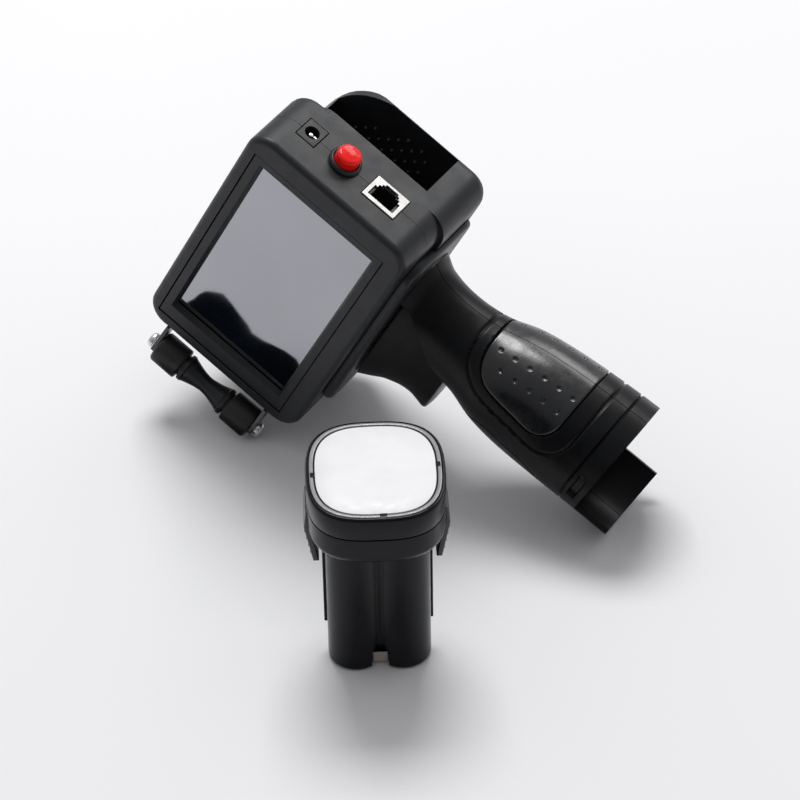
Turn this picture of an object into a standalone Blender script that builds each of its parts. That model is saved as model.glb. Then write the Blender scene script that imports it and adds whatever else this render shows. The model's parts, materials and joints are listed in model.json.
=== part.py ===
"""Handheld date code inkjet printer with its battery standing beside it.

The printer is built in its own axes: x runs down the handle, y runs forward to
the printing end, z runs from the screen side to the cartridge side.  A parent
empty then lays it on the floor, where it rests on the roller, the print nose
and the lip at the end of the handle.  Lengths are in metres, Z is up.
"""
import math

import bmesh
import bpy
from mathutils import Matrix, Vector

MM = 0.001
GAP = 0.3 * MM          # clearance between pieces that touch
ARC = 7                 # steps in a quarter turn of a rounded corner
OVER = 1.0 * MM         # how far a cutter runs past what it cuts

# ---- head ----
HEAD_X = 79.0 * MM      # width of the head across the handle direction
HEAD_Y = 125.0 * MM     # length of the head from ports to printing end
CORNER = 10.0 * MM      # round corners of the head
WALL = 2.4 * MM         # plastic wall
SEAM_Z = 17.5 * MM      # parting plane between bezel shell and rear shell
BLOCK_Z = 34.7 * MM     # back of the screen half, floor of the cartridge bay
HOUSE_X0 = 7.0 * MM     # cartridge housing starts here
HOUSE_X1 = HEAD_X + 2.0 * MM
HEAD_Z = 63.0 * MM      # total depth of the head
COVER_T = 3.4 * MM      # thickness of the side cover
SIDE_ROUND = 6.5 * MM   # rounding of the cartridge side
PLATE = (5.0 * MM, 70.5 * MM, 10.0 * MM, 119.0 * MM)    # screen frame x0 x1 y0 y1
LCD = (10.8 * MM, 65.2 * MM, 15.5 * MM, 110.5 * MM)     # visible screen area
FRAME_T = 3.2 * MM
GLASS_T = 1.4 * MM
LCD_T = 4.5 * MM
BLOCK_ROUND = 3.2 * MM  # rounding of the screen half toward the cartridge
POSTS = ((9.0 * MM, 112.0 * MM), (61.0 * MM, 112.0 * MM), (61.0 * MM, 30.0 * MM), (9.0 * MM, 40.0 * MM))
POST_R = 2.6 * MM
COVER_SCREWS = ((18.0 * MM, 108.0 * MM), (72.0 * MM, 108.0 * MM), (72.0 * MM, 14.0 * MM),
                (18.0 * MM, 50.0 * MM))
COVER_SCREW_R = 3.0 * MM

# ---- cartridge bay ----
BAY = (9.8 * MM, 63.7 * MM, 96.0 * MM)    # x0 x1 and depth along y
SCOOP_R = 31.0 * MM                        # round corner of the open bay
DOT_R = 0.9 * MM
DOT_PITCH = 6.9 * MM
DOT_FROM = (53.1 * MM, 27.5 * MM)             # first dot: x, y
DOT_COUNTS = (6, 5, 5, 4, 3, 2)

# ---- sockets and button on the rear face ----
DC = (16.2 * MM, 18.5 * MM, 9.0 * MM, 11.0 * MM, 12.0 * MM)    # x z width height depth
RJ = (54.2 * MM, 17.7 * MM, 16.0 * MM, 13.0 * MM, 18.0 * MM)
BUTTON = (33.4 * MM, 17.6 * MM)
COLLAR_R = 6.8 * MM
COLLAR_OUT = 2.2 * MM
CAP_R = 5.1 * MM
CAP_OUT = 6.8 * MM
BUTTON_TRAVEL = 2.5 * MM
BOARD_T = 1.6 * MM

# ---- printing end ----
NOSE_X = (22.0 * MM, 72.0 * MM)
NOSE_Z = (36.5 * MM, 57.0 * MM)
ROLL_R = 7.0 * MM
ROLL_OUT = 11.8 * MM    # how far the roller axis is beyond the printing end
ROLL_Y = HEAD_Y + ROLL_OUT
ROLL_Z = 0.8 * MM
ROLL_X = (13.8 * MM, 64.0 * MM)
WHEEL_L = 15.5 * MM
WAIST_R = 3.6 * MM
AXLE_R = 1.6 * MM
BRACKET_T = 1.6 * MM
ARM_HALF = 4.2 * MM      # half height of a bracket arm at the axle
SCREW_R = 3.3 * MM       # head of an axle screw

# ---- grip ----
GRIP_Z = 32.0 * MM      # middle plane of the grip
FLANGE_T = 4.2 * MM
FLANGE_Y = (15.0 * MM, 108.0 * MM)
FLANGE_Z = (9.0 * MM, 57.0 * MM)
GRIP_WALL = 2.0 * MM
GRIP_END = HEAD_X + 108.0 * MM
LIP_END = HEAD_X + 124.0 * MM
LIP_HALF_ANGLE = math.radians(60.0)
SOCKET_FROM = HEAD_X + 52.5 * MM
LATCH_SLOT = (HEAD_X + 100.6 * MM, HEAD_X + 104.4 * MM, 37.0 * MM, 50.0 * MM)    # x0 x1 y0 y1
# along the handle: place, middle, half depth, half width
NECK = (HEAD_X + FLANGE_T, 49.5 * MM, 25.0 * MM, 21.5 * MM)
THROAT = (HEAD_X + 11.0 * MM, 49.0 * MM, 20.0 * MM, 18.6 * MM)
WAIST = (HEAD_X + 24.0 * MM, 48.6 * MM, 17.8 * MM, 17.0 * MM)
BELOW_TRIGGER = (HEAD_X + 39.0 * MM, 48.0 * MM, 19.2 * MM, 18.2 * MM)
SWELL_START = (HEAD_X + 53.0 * MM, 47.0 * MM, 22.9 * MM, 22.7 * MM)
PALM = (HEAD_X + 67.0 * MM, 46.0 * MM, 25.6 * MM, 24.0 * MM)
LOWER = (HEAD_X + 86.0 * MM, 44.2 * MM, 26.4 * MM, 25.2 * MM)
END = (GRIP_END, 42.5 * MM, 26.6 * MM, 25.8 * MM)
LIP = (LIP_END, 42.0 * MM, 26.6 * MM, 25.8 * MM)
STATIONS = (NECK, THROAT, WAIST, BELOW_TRIGGER, SWELL_START, PALM, LOWER, END, LIP)
RING = 44

# ---- trigger ----
TRIGGER_TRAVEL = 4.0 * MM
TRIGGER_TOP = HEAD_X + FLANGE_T + 0.8 * MM
TRIGGER_END = HEAD_X + 36.3 * MM
# the edge of the neck's cheeks that the trigger slides under: x, y
CHEEK = ((HEAD_X, 35.5 * MM), (HEAD_X + 8.0 * MM, 37.5 * MM), (HEAD_X + 18.0 * MM, 45.5 * MM),
         (HEAD_X + 28.0 * MM, 56.0 * MM), (TRIGGER_END + 0.5 * MM, 61.0 * MM))
# trigger sections along the handle: x, back, front, half width
TRIGGER_ROWS = ((TRIGGER_TOP, 35.0 * MM, 99.5 * MM, 14.6 * MM),
                (HEAD_X + 11.0 * MM, 36.5 * MM, 94.5 * MM, 14.4 * MM),
                (HEAD_X + 15.0 * MM, 39.0 * MM, 91.0 * MM, 14.0 * MM),
                (HEAD_X + 19.0 * MM, 41.5 * MM, 88.8 * MM, 13.6 * MM),
                (HEAD_X + 23.0 * MM, 44.5 * MM, 87.5 * MM, 12.8 * MM),
                (HEAD_X + 27.5 * MM, 48.0 * MM, 87.5 * MM, 11.8 * MM),
                (HEAD_X + 31.5 * MM, 50.5 * MM, 89.0 * MM, 11.0 * MM),
                (HEAD_X + 34.2 * MM, 52.0 * MM, 90.0 * MM, 10.4 * MM),
                (HEAD_X + 35.7 * MM, 53.0 * MM, 89.0 * MM, 9.6 * MM),
                (TRIGGER_END, 56.0 * MM, 85.5 * MM, 7.0 * MM))
SWITCH_X = (HEAD_X + 29.5 * MM, HEAD_X + 40.5 * MM)

# ---- rear palm panel of the grip ----
PAD = (HEAD_X + 41.0 * MM, HEAD_X + 83.3 * MM, 38.6 * MM, 11.0 * MM)    # x0 x1, side edge y, corner radius
LOOP = (HEAD_X + 36.0 * MM, HEAD_X + 92.0 * MM, 43.4 * MM, 14.0 * MM)
GROOVE = 0.8 * MM
COLLAR_GROOVE = HEAD_X + 98.0 * MM
DIMPLE_R = 1.0 * MM
# first x, count, angle round the grip
DIMPLE_ROWS = ((HEAD_X + 46.1 * MM, 6, -154.0), (HEAD_X + 51.6 * MM, 5, -136.0))
DIMPLE_PITCH = 6.8 * MM

# ---- battery ----
CAP_X = 52.2 * MM
CAP_Y = 57.4 * MM
CAP_POWER = 2.9          # how square the cap's outline is
CAP_H = 10.0 * MM         # upper part, above its seam
COLLAR_H = 12.5 * MM      # lower part, which carries the latches
LOBE_D = 10.4 * MM        # the body is three round lobes, one round each cell
LOBE_R = 10.7 * MM
BODY_H = 64.4 * MM
NOTCH_H = 8.0 * MM
RAIL_OUT = 20.9 * MM      # the guide rail on each side of the body reaches this far
RAIL_FROM = 12.0 * MM     # height at which the rails start
BATTERY_WALL = 1.2 * MM
CELL_R = 8.85 * MM
LATCH_T = 2.2 * MM
LATCH_OUT = 1.2 * MM      # how far a latch stands out from the cap
LATCH_IN = 1.9 * MM       # how far its lower end is drawn in from the cap
LATCH_DROP = 14.5 * MM     # how far a latch hangs below the cap
LATCH_RISE = 9.5 * MM
LATCH_HALF = 8.0 * MM
LATCH_ROOM = 3.8 * MM     # depth of the recess behind a latch
BATTERY_AT = (0.1016, -0.0783)
BATTERY_YAW = math.radians(34.0)

# The rest pose: the roller's lower end and the lip of the grip touch the floor.
REST_ROLL = (ROLL_X[1], ROLL_Y + ROLL_R)
REST_LIP = (LIP_END, LIP[1] + LIP[2])
THETA = math.atan2(REST_ROLL[1] - REST_LIP[1], REST_LIP[0] - REST_ROLL[0])
DROP = REST_ROLL[0] * math.sin(THETA) + REST_ROLL[1] * math.cos(THETA)
NOSE_Y = (DROP - NOSE_X[1] * math.sin(THETA)) / math.cos(THETA)


# ---------------------------------------------------------------- helpers
def clear():
    for old in list(bpy.data.objects):
        bpy.data.objects.remove(old)


def material(name, colour, rough, metal=0.0):
    found = bpy.data.materials.get(name)
    if found:
        return found
    made = bpy.data.materials.new(name)
    made.use_nodes = True
    shader = made.node_tree.nodes["Principled BSDF"]
    shader.inputs["Base Color"].default_value = (*colour, 1.0)
    shader.inputs["Roughness"].default_value = rough
    shader.inputs["Metallic"].default_value = metal
    return made


def place(name, bm, parent, origin=(0, 0, 0), look=None, smooth=True):
    """Turns a bmesh in parent axes into an object whose origin is `origin`."""
    bmesh.ops.recalc_face_normals(bm, faces=bm.faces[:])
    bmesh.ops.translate(bm, vec=-Vector(origin), verts=bm.verts[:])
    mesh = bpy.data.meshes.new(name)
    bm.to_mesh(mesh)
    bm.free()
    for face in mesh.polygons:
        face.use_smooth = smooth
    mesh.set_sharp_from_angle(angle=math.radians(32))
    made = bpy.data.objects.new(name, mesh)
    bpy.context.scene.collection.objects.link(made)
    made.parent = parent
    made.location = origin
    if look:
        mesh.materials.append(look)
    return made


def rounded(x0, x1, y0, y1, r):
    """Outline of a rectangle with round corners."""
    points = []
    corners = ((x1 - r, y0 + r, -90), (x1 - r, y1 - r, 0), (x0 + r, y1 - r, 90), (x0 + r, y0 + r, 180))
    for cx, cy, start in corners:
        for i in range(ARC + 1):
            a = math.radians(start + 90 * i / ARC)
            points.append((cx + r * math.cos(a), cy + r * math.sin(a)))
    return points


def rect(x0, x1, y0, y1):
    return [(x0, y0), (x1, y0), (x1, y1), (x0, y1)]


def spot(u, v, w, axis):
    if axis == "Z":
        return (u, v, w)
    if axis == "Y":
        return (u, w, v)
    return (w, u, v)


def prism(outline, lo, hi, axis="Z", round_lo=0.0, round_hi=0.0, steps=4):
    """Outline extruded along an axis, with its end edges rounded if wanted."""
    bm = bmesh.new()
    verts = [bm.verts.new(spot(u, v, lo, axis)) for u, v in outline]
    face = bm.faces.new(verts)
    made = bmesh.ops.extrude_face_region(bm, geom=[face])
    top = [g for g in made["geom"] if isinstance(g, bmesh.types.BMVert)]
    shift = Vector(spot(0, 0, hi - lo, axis))
    bmesh.ops.translate(bm, vec=shift, verts=top)
    bmesh.ops.recalc_face_normals(bm, faces=bm.faces[:])
    index = {"X": 0, "Y": 1, "Z": 2}[axis]
    for level, amount in ((lo, round_lo), (hi, round_hi)):
        if amount <= 0:
            continue
        rim = [e for e in bm.edges if all(abs(v.co[index] - level) < 1e-7 for v in e.verts)]
        bmesh.ops.bevel(bm, geom=rim, offset=amount, offset_type="OFFSET", segments=steps,
                        profile=0.5, affect="EDGES", clamp_overlap=True)
    return bm


def round_bar(cx, cy, r, lo, hi, axis="Z", chamfer=0.0, sides=36):
    outline = []
    for i in range(sides):
        a = 2 * math.pi * i / sides
        outline.append((cx + r * math.cos(a), cy + r * math.sin(a)))
    return prism(outline, lo, hi, axis, chamfer, chamfer, 2)


def turned(profile, along, centre, sides=36):
    """Solid of revolution about an axis along x; profile is (x, radius) from one end to the other."""
    bm = bmesh.new()
    rings = []
    for x, r in profile:
        ring = []
        for i in range(sides):
            a = 2 * math.pi * i / sides
            ring.append(bm.verts.new((along + x, centre[0] + r * math.cos(a), centre[1] + r * math.sin(a))))
        rings.append(ring)
    skin(bm, rings)
    return bm


def skin(bm, rings):
    for a, b in zip(rings, rings[1:]):
        count = len(a)
        for i in range(count):
            j = (i + 1) % count
            bm.faces.new((a[i], a[j], b[j], b[i]))
    bm.faces.new(rings[0])
    bm.faces.new(rings[-1])


def cutter(name, bm, parent):
    made = place(name, bm, parent)
    made.display_type = "WIRE"
    made.hide_render = True
    return made


def apply_boolean(target, tools, operation):
    """Adds one boolean modifier per tool."""
    for tool in tools:
        mod = target.modifiers.new(operation.lower(), "BOOLEAN")
        mod.operation = operation
        mod.solver = "EXACT"
        mod.object = tool


def cut(target, *tools):
    apply_boolean(target, tools, "DIFFERENCE")


def add(target, *tools):
    apply_boolean(target, tools, "UNION")


def keep(target, *tools):
    apply_boolean(target, tools, "INTERSECT")


def box_bm(x0, x1, y0, y1, z0, z1):
    return prism(rect(x0, x1, y0, y1), z0, z1)


def frustum(inner, outer, z_in, z_out):
    """Cutter that opens from a small window at z_in to a larger one at z_out."""
    bm = bmesh.new()
    rings = []
    for (x0, x1, y0, y1), z in ((inner, z_in), (outer, z_out)):
        rings.append([bm.verts.new((x, y, z)) for x, y in rect(x0, x1, y0, y1)])
    skin(bm, rings)
    return bm


def grow(box, by):
    x0, x1, y0, y1 = box
    return (x0 - by, x1 + by, y0 - by, y1 + by)


# ---------------------------------------------------------------- looks
def looks():
    return {
        "shell": material("shell_black", (0.018, 0.018, 0.019), 0.55),
        "soft": material("soft_black", (0.014, 0.014, 0.014), 0.75),
        "gloss": material("glass_black", (0.01, 0.012, 0.014), 0.08),
        "lcd": material("lcd_grey", (0.16, 0.17, 0.18), 0.3),
        "board": material("board_green", (0.02, 0.12, 0.05), 0.5),
        "steel": material("steel", (0.62, 0.62, 0.64), 0.28, 1.0),
        "red": material("button_red", (0.75, 0.02, 0.015), 0.3),
        "brass": material("contact_brass", (0.75, 0.6, 0.32), 0.3, 1.0),
        "label": material("label_grey", (0.72, 0.72, 0.72), 0.5),
        "rim": material("rim_grey", (0.5, 0.5, 0.5), 0.5),
        "cell": material("cell_blue", (0.08, 0.2, 0.42), 0.4),
        "insert": material("insert_black", (0.008, 0.008, 0.008), 0.5),
    }


# ---------------------------------------------------------------- head
def socket_cutters(frame):
    """Holes through the rear wall for both shells."""
    made = []
    dx, dz, dw, dh, dd = DC
    made.append(cutter("cut_dc", prism(rect(dx - dw / 2 - GAP, dx + dw / 2 + GAP, dz - dh / 2 - GAP,
                                            dz + dh / 2 + GAP), -OVER, dd + GAP, "Y"), frame))
    rx, rz, rw, rh, rd = RJ
    made.append(cutter("cut_rj", prism(rect(rx - rw / 2 - GAP, rx + rw / 2 + GAP, rz - rh / 2 - GAP,
                                            rz + rh / 2 + GAP), -OVER, rd + GAP, "Y"), frame))
    made.append(cutter("cut_button", round_bar(BUTTON[0], BUTTON[1], CAP_R + 3 * GAP, -OVER,
                                               WALL + OVER, "Y"), frame))
    return made


def bezel_shell(frame, look, sockets):
    shell = place("bezel_shell", prism(rounded(0, HEAD_X, 0, HEAD_Y, CORNER), 0, SEAM_Z - GAP / 2,
                                       round_lo=2.6 * MM), frame, look=look)
    inside = rounded(WALL, HEAD_X - WALL, WALL, HEAD_Y - WALL, CORNER - WALL)
    hollow = cutter("cut_bezel_hollow", prism(inside, FRAME_T + GAP, SEAM_Z + OVER), frame)
    window = cutter("cut_bezel_window", prism(rect(*PLATE), -OVER, FRAME_T + OVER), frame)
    notch = cutter("cut_roller_notch", box_bm(ROLL_X[0] - 3 * MM, ROLL_X[1] + 3 * MM, HEAD_Y - 1.6 * MM,
                                              HEAD_Y + OVER, -OVER, 8.0 * MM), frame)
    cut(shell, hollow, window, notch, *sockets)
    return shell


def screen_parts(frame, look):
    frame_plate = place("screen_frame", prism(rect(*grow(PLATE, -GAP)), 0.3 * MM, FRAME_T,
                                              round_lo=0.4 * MM, steps=2), frame, look=look["shell"])
    window = cutter("cut_screen_window", frustum(LCD, grow(LCD, 2.2 * MM), FRAME_T + OVER, -OVER), frame)
    cut(frame_plate, window)
    pane = grow(LCD, 3.6 * MM)
    place("screen_glass", prism(rect(*pane), FRAME_T + GAP, FRAME_T + GAP + GLASS_T), frame,
          look=look["gloss"])
    back = FRAME_T + 2 * GAP + GLASS_T
    place("lcd_module", prism(rect(*grow(LCD, 3.0 * MM)), back, back + LCD_T, round_lo=0.3 * MM,
                              round_hi=0.3 * MM, steps=1), frame, look=look["lcd"])


def housing_bm(z_lo, z_hi, rounding):
    return prism(rounded(HOUSE_X0, HOUSE_X1, 0, HEAD_Y, CORNER), z_lo, z_hi, round_hi=rounding, steps=5)


def scoop_bm():
    """Removes the round corner where a hand reaches the cartridge."""
    cx = HOUSE_X0 + SCOOP_R
    points = [(HOUSE_X0 - OVER, -OVER), (cx, -OVER), (cx, 0)]
    for i in range(1, 2 * ARC + 1):
        a = math.radians(-90 - 90 * i / (2 * ARC))
        points.append((cx + SCOOP_R * math.cos(a), SCOOP_R + SCOOP_R * math.sin(a)))
    points.append((HOUSE_X0 - OVER, SCOOP_R))
    return prism(points, BLOCK_Z, HEAD_Z + OVER)


def rear_shell(frame, look, sockets):
    block = prism(rounded(0, HEAD_X, 0, HEAD_Y, CORNER), SEAM_Z + GAP / 2, BLOCK_Z, round_hi=BLOCK_ROUND,
                  steps=5)
    shell = place("rear_shell", block, frame, look=look["shell"])
    house = cutter("add_housing", housing_bm(BLOCK_Z - 7 * MM, HEAD_Z, SIDE_ROUND), frame)
    top = cutter("cut_cover_space", box_bm(-OVER, HOUSE_X1 + OVER, -OVER, HEAD_Y + OVER,
                                           HEAD_Z - COVER_T - GAP, HEAD_Z + OVER), frame)
    scoop = cutter("cut_scoop_shell", scoop_bm(), frame)
    hollow = cutter("cut_rear_hollow", prism(rounded(WALL, HEAD_X - WALL, WALL, HEAD_Y - WALL, CORNER - WALL),
                                             SEAM_Z - OVER, BLOCK_Z - WALL - 3 * MM), frame)
    side_pocket = cutter("cut_side_pocket", box_bm(BAY[1] + WALL, HEAD_X - WALL, 12 * MM, HEAD_Y - 12 * MM,
                                                   SEAM_Z, HEAD_Z - COVER_T - WALL - GAP), frame)
    bay = cutter("cut_bay", box_bm(BAY[0], BAY[1], -OVER, BAY[2], BLOCK_Z, HEAD_Z + OVER), frame)
    nose_room = cutter("cut_nose_seat", box_bm(NOSE_X[0] + 4 * MM, NOSE_X[1] - 12 * MM, BAY[2] - OVER,
                                               HEAD_Y + OVER, NOSE_Z[0] + 3 * MM, NOSE_Z[1] - 3 * MM), frame)
    add(shell, house)
    cut(shell, top, scoop, hollow, side_pocket, bay, nose_room, *sockets)
    board_z = RJ[1] + RJ[3] / 2 + GAP + BOARD_T + GAP
    for i, (px, py) in enumerate(POSTS):
        post = cutter(f"add_post_{i}", round_bar(px, py, POST_R, board_z, BLOCK_Z - WALL, sides=16), frame)
        add(shell, post)
    return board_z - GAP - BOARD_T


def side_cover(frame, look, screw_look):
    cover = place("side_cover", housing_bm(BLOCK_Z, HEAD_Z, SIDE_ROUND), frame, look=look)
    below = cutter("cut_below_cover", box_bm(-OVER, HOUSE_X1 + OVER, -OVER, HEAD_Y + OVER, BLOCK_Z - OVER,
                                             HEAD_Z - COVER_T), frame)
    scoop = cutter("cut_scoop_cover", scoop_bm(), frame)
    cut(cover, below, scoop)
    bm = bmesh.new()
    for row, count in enumerate(DOT_COUNTS):
        for i in range(count):
            x = DOT_FROM[0] - i * DOT_PITCH - (row % 2) * DOT_PITCH / 2
            y = DOT_FROM[1] - row * DOT_PITCH / 2
            ball = bmesh.ops.create_icosphere(bm, subdivisions=1, radius=DOT_R)
            bmesh.ops.translate(bm, vec=(x, y, HEAD_Z - COVER_T), verts=ball["verts"])
    add(cover, cutter("add_dots", bm, frame))
    sink = 1.3 * MM
    for i, (x, y) in enumerate(COVER_SCREWS):
        well = cutter(f"cut_screw_well_{i}", round_bar(x, y, COVER_SCREW_R + GAP, HEAD_Z - sink,
                                                       HEAD_Z + OVER, sides=28), frame)
        cut(cover, well)
        screw = place(f"cover_screw_{i + 1}", round_bar(x, y, COVER_SCREW_R, HEAD_Z - sink + GAP,
                                                        HEAD_Z - 0.2 * MM, chamfer=0.2 * MM, sides=28), frame,
                      look=screw_look)
        for k, half in enumerate(((0.4 * MM, 1.8 * MM), (1.8 * MM, 0.4 * MM))):
            cut(screw, cutter(f"cut_screw_{i}_{k}", box_bm(x - half[0], x + half[0], y - half[1], y + half[1],
                                                           HEAD_Z - 0.7 * MM, HEAD_Z + OVER), frame))


def rear_face_parts(frame, look, board_z):
    dx, dz, dw, dh, dd = DC
    jack_face = rect(dx - dw / 2, dx + dw / 2, dz - dh / 2, dz + dh / 2)
    jack = place("dc_jack", prism(jack_face, -0.2 * MM, dd, "Y", round_lo=0.3 * MM, steps=2), frame,
                 look=look["shell"])
    bore_end = dd - 2.5 * MM
    cut(jack, cutter("cut_jack_bore", round_bar(dx, dz, 3.1 * MM, -OVER, bore_end, "Y", sides=32), frame))
    place("dc_pin", round_bar(dx, dz, 1.0 * MM, 1.0 * MM, bore_end - GAP, "Y", 0.3 * MM, 20), frame,
          look=look["steel"])
    rx, rz, rw, rh, rd = RJ
    shield_face = rect(rx - rw / 2, rx + rw / 2, rz - rh / 2, rz + rh / 2)
    shield = place("rj45_shield", prism(shield_face, -0.5 * MM, rd, "Y", round_lo=0.3 * MM, steps=2), frame,
                   look=look["steel"])
    inner = (rx - rw / 2 + 1.6 * MM, rx + rw / 2 - 1.6 * MM, rz - rh / 2 + 1.6 * MM, rz + rh / 2 - 1.6 * MM)
    cut(shield, cutter("cut_shield", prism(rect(*inner), -OVER, rd - 0.8 * MM, "Y"), frame))
    core = place("rj45_insert", prism(rect(*grow(inner, -GAP)), 0.4 * MM, rd - 0.8 * MM - GAP, "Y"), frame,
                 look=look["insert"])
    mouth = (rx - 5.0 * MM, rx + 5.0 * MM, rz - 3.4 * MM, rz + 3.2 * MM)
    cut(core, cutter("cut_rj_mouth", prism(rect(*mouth), -OVER, 13 * MM, "Y"), frame))
    key = (rx - 3.0 * MM, rx + 3.0 * MM, rz + 3.0 * MM, rz + 4.2 * MM)
    cut(core, cutter("cut_rj_key", prism(rect(*key), -OVER, 13 * MM, "Y"), frame))
    place("rj45_contacts", prism(rect(rx - 4.2 * MM, rx + 4.2 * MM, rz - 3.1 * MM, rz - 2.4 * MM), 5 * MM,
                                 13 * MM - GAP, "Y"), frame, look=look["brass"])
    bx, bz = BUTTON
    collar = place("button_collar", round_bar(bx, bz, COLLAR_R, -COLLAR_OUT, -GAP, "Y", 0.5 * MM, 36), frame,
                   look=look["shell"])
    add(collar, cutter("add_collar_neck", round_bar(bx, bz, CAP_R + 2 * GAP, -COLLAR_OUT + 1 * MM,
                                                    WALL + 6 * MM, "Y", sides=36), frame))
    cut(collar, cutter("cut_collar", round_bar(bx, bz, CAP_R + GAP, -COLLAR_OUT - OVER,
                                               WALL + 4.5 * MM, "Y", sides=36), frame))
    cap_back = WALL + 4.5 * MM - BUTTON_TRAVEL - GAP
    place("power_button", prism([(bx + CAP_R * math.cos(2 * math.pi * i / 36),
                                  bz + CAP_R * math.sin(2 * math.pi * i / 36)) for i in range(36)],
                                -CAP_OUT, cap_back, "Y", round_lo=1.3 * MM), frame,
          origin=(bx, -CAP_OUT, bz), look=look["red"])
    place("main_board", prism(rounded(5 * MM, HEAD_X - 5 * MM, 3 * MM, HEAD_Y - 6 * MM, 6 * MM), board_z,
                              board_z + BOARD_T), frame, look=look["board"])


def bay_parts(frame, look):
    floor = BAY[2]
    x0 = BAY[0] + GAP
    x1 = BAY[1] - GAP
    place("contact_block", prism(rect(x0 + 8 * MM, x1 - 8 * MM, BLOCK_Z + GAP, BLOCK_Z + 3.5 * MM), 40 * MM,
                                 floor - 14 * MM, "Y", 0.4 * MM, 0.4 * MM, 1), frame, look=look["insert"])
    place("contact_pads", prism(rect(x0 + 14 * MM, x1 - 14 * MM, BLOCK_Z + 3.5 * MM + GAP,
                                     BLOCK_Z + 4.1 * MM), 50 * MM, floor - 20 * MM, "Y"), frame,
          look=look["brass"])


def printing_end(frame, look):
    y0 = HEAD_Y + GAP
    tip = NOSE_Y - 1.4 * MM
    section = rounded(NOSE_X[0], NOSE_X[1], NOSE_Z[0], NOSE_Z[1], 3.0 * MM)
    nose = place("print_nose", prism(section, y0, tip, "Y", round_hi=0.8 * MM, steps=2), frame,
                 look=look["shell"])
    seat = (NOSE_X[0] + 8 * MM, NOSE_X[1] - 16 * MM, NOSE_Z[0] + 4.5 * MM, NOSE_Z[1] - 4.5 * MM)
    cut(nose, cutter("cut_nose_bore", prism(rect(*seat), y0 - OVER, tip + OVER, "Y"), frame))
    plate = place("nose_plate", prism(rounded(NOSE_X[0] + 1.5 * MM, NOSE_X[1], NOSE_Z[0] + 1.5 * MM,
                                              NOSE_Z[1] - 1.5 * MM, 2.0 * MM), tip + GAP, NOSE_Y, "Y"),
                  frame, look=look["steel"])
    slot = grow(seat, -2.5 * MM)
    cut(plate, cutter("cut_print_slot", prism(rect(*slot), tip - OVER, NOSE_Y + OVER, "Y"), frame))
    place("print_sensor", round_bar(NOSE_X[0] + 4 * MM, (NOSE_Z[0] + NOSE_Z[1]) / 2, 1.9 * MM, NOSE_Y + GAP,
                                    NOSE_Y + 1.2 * MM, "Y", 0.3 * MM, 24), frame, look=look["gloss"])


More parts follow.
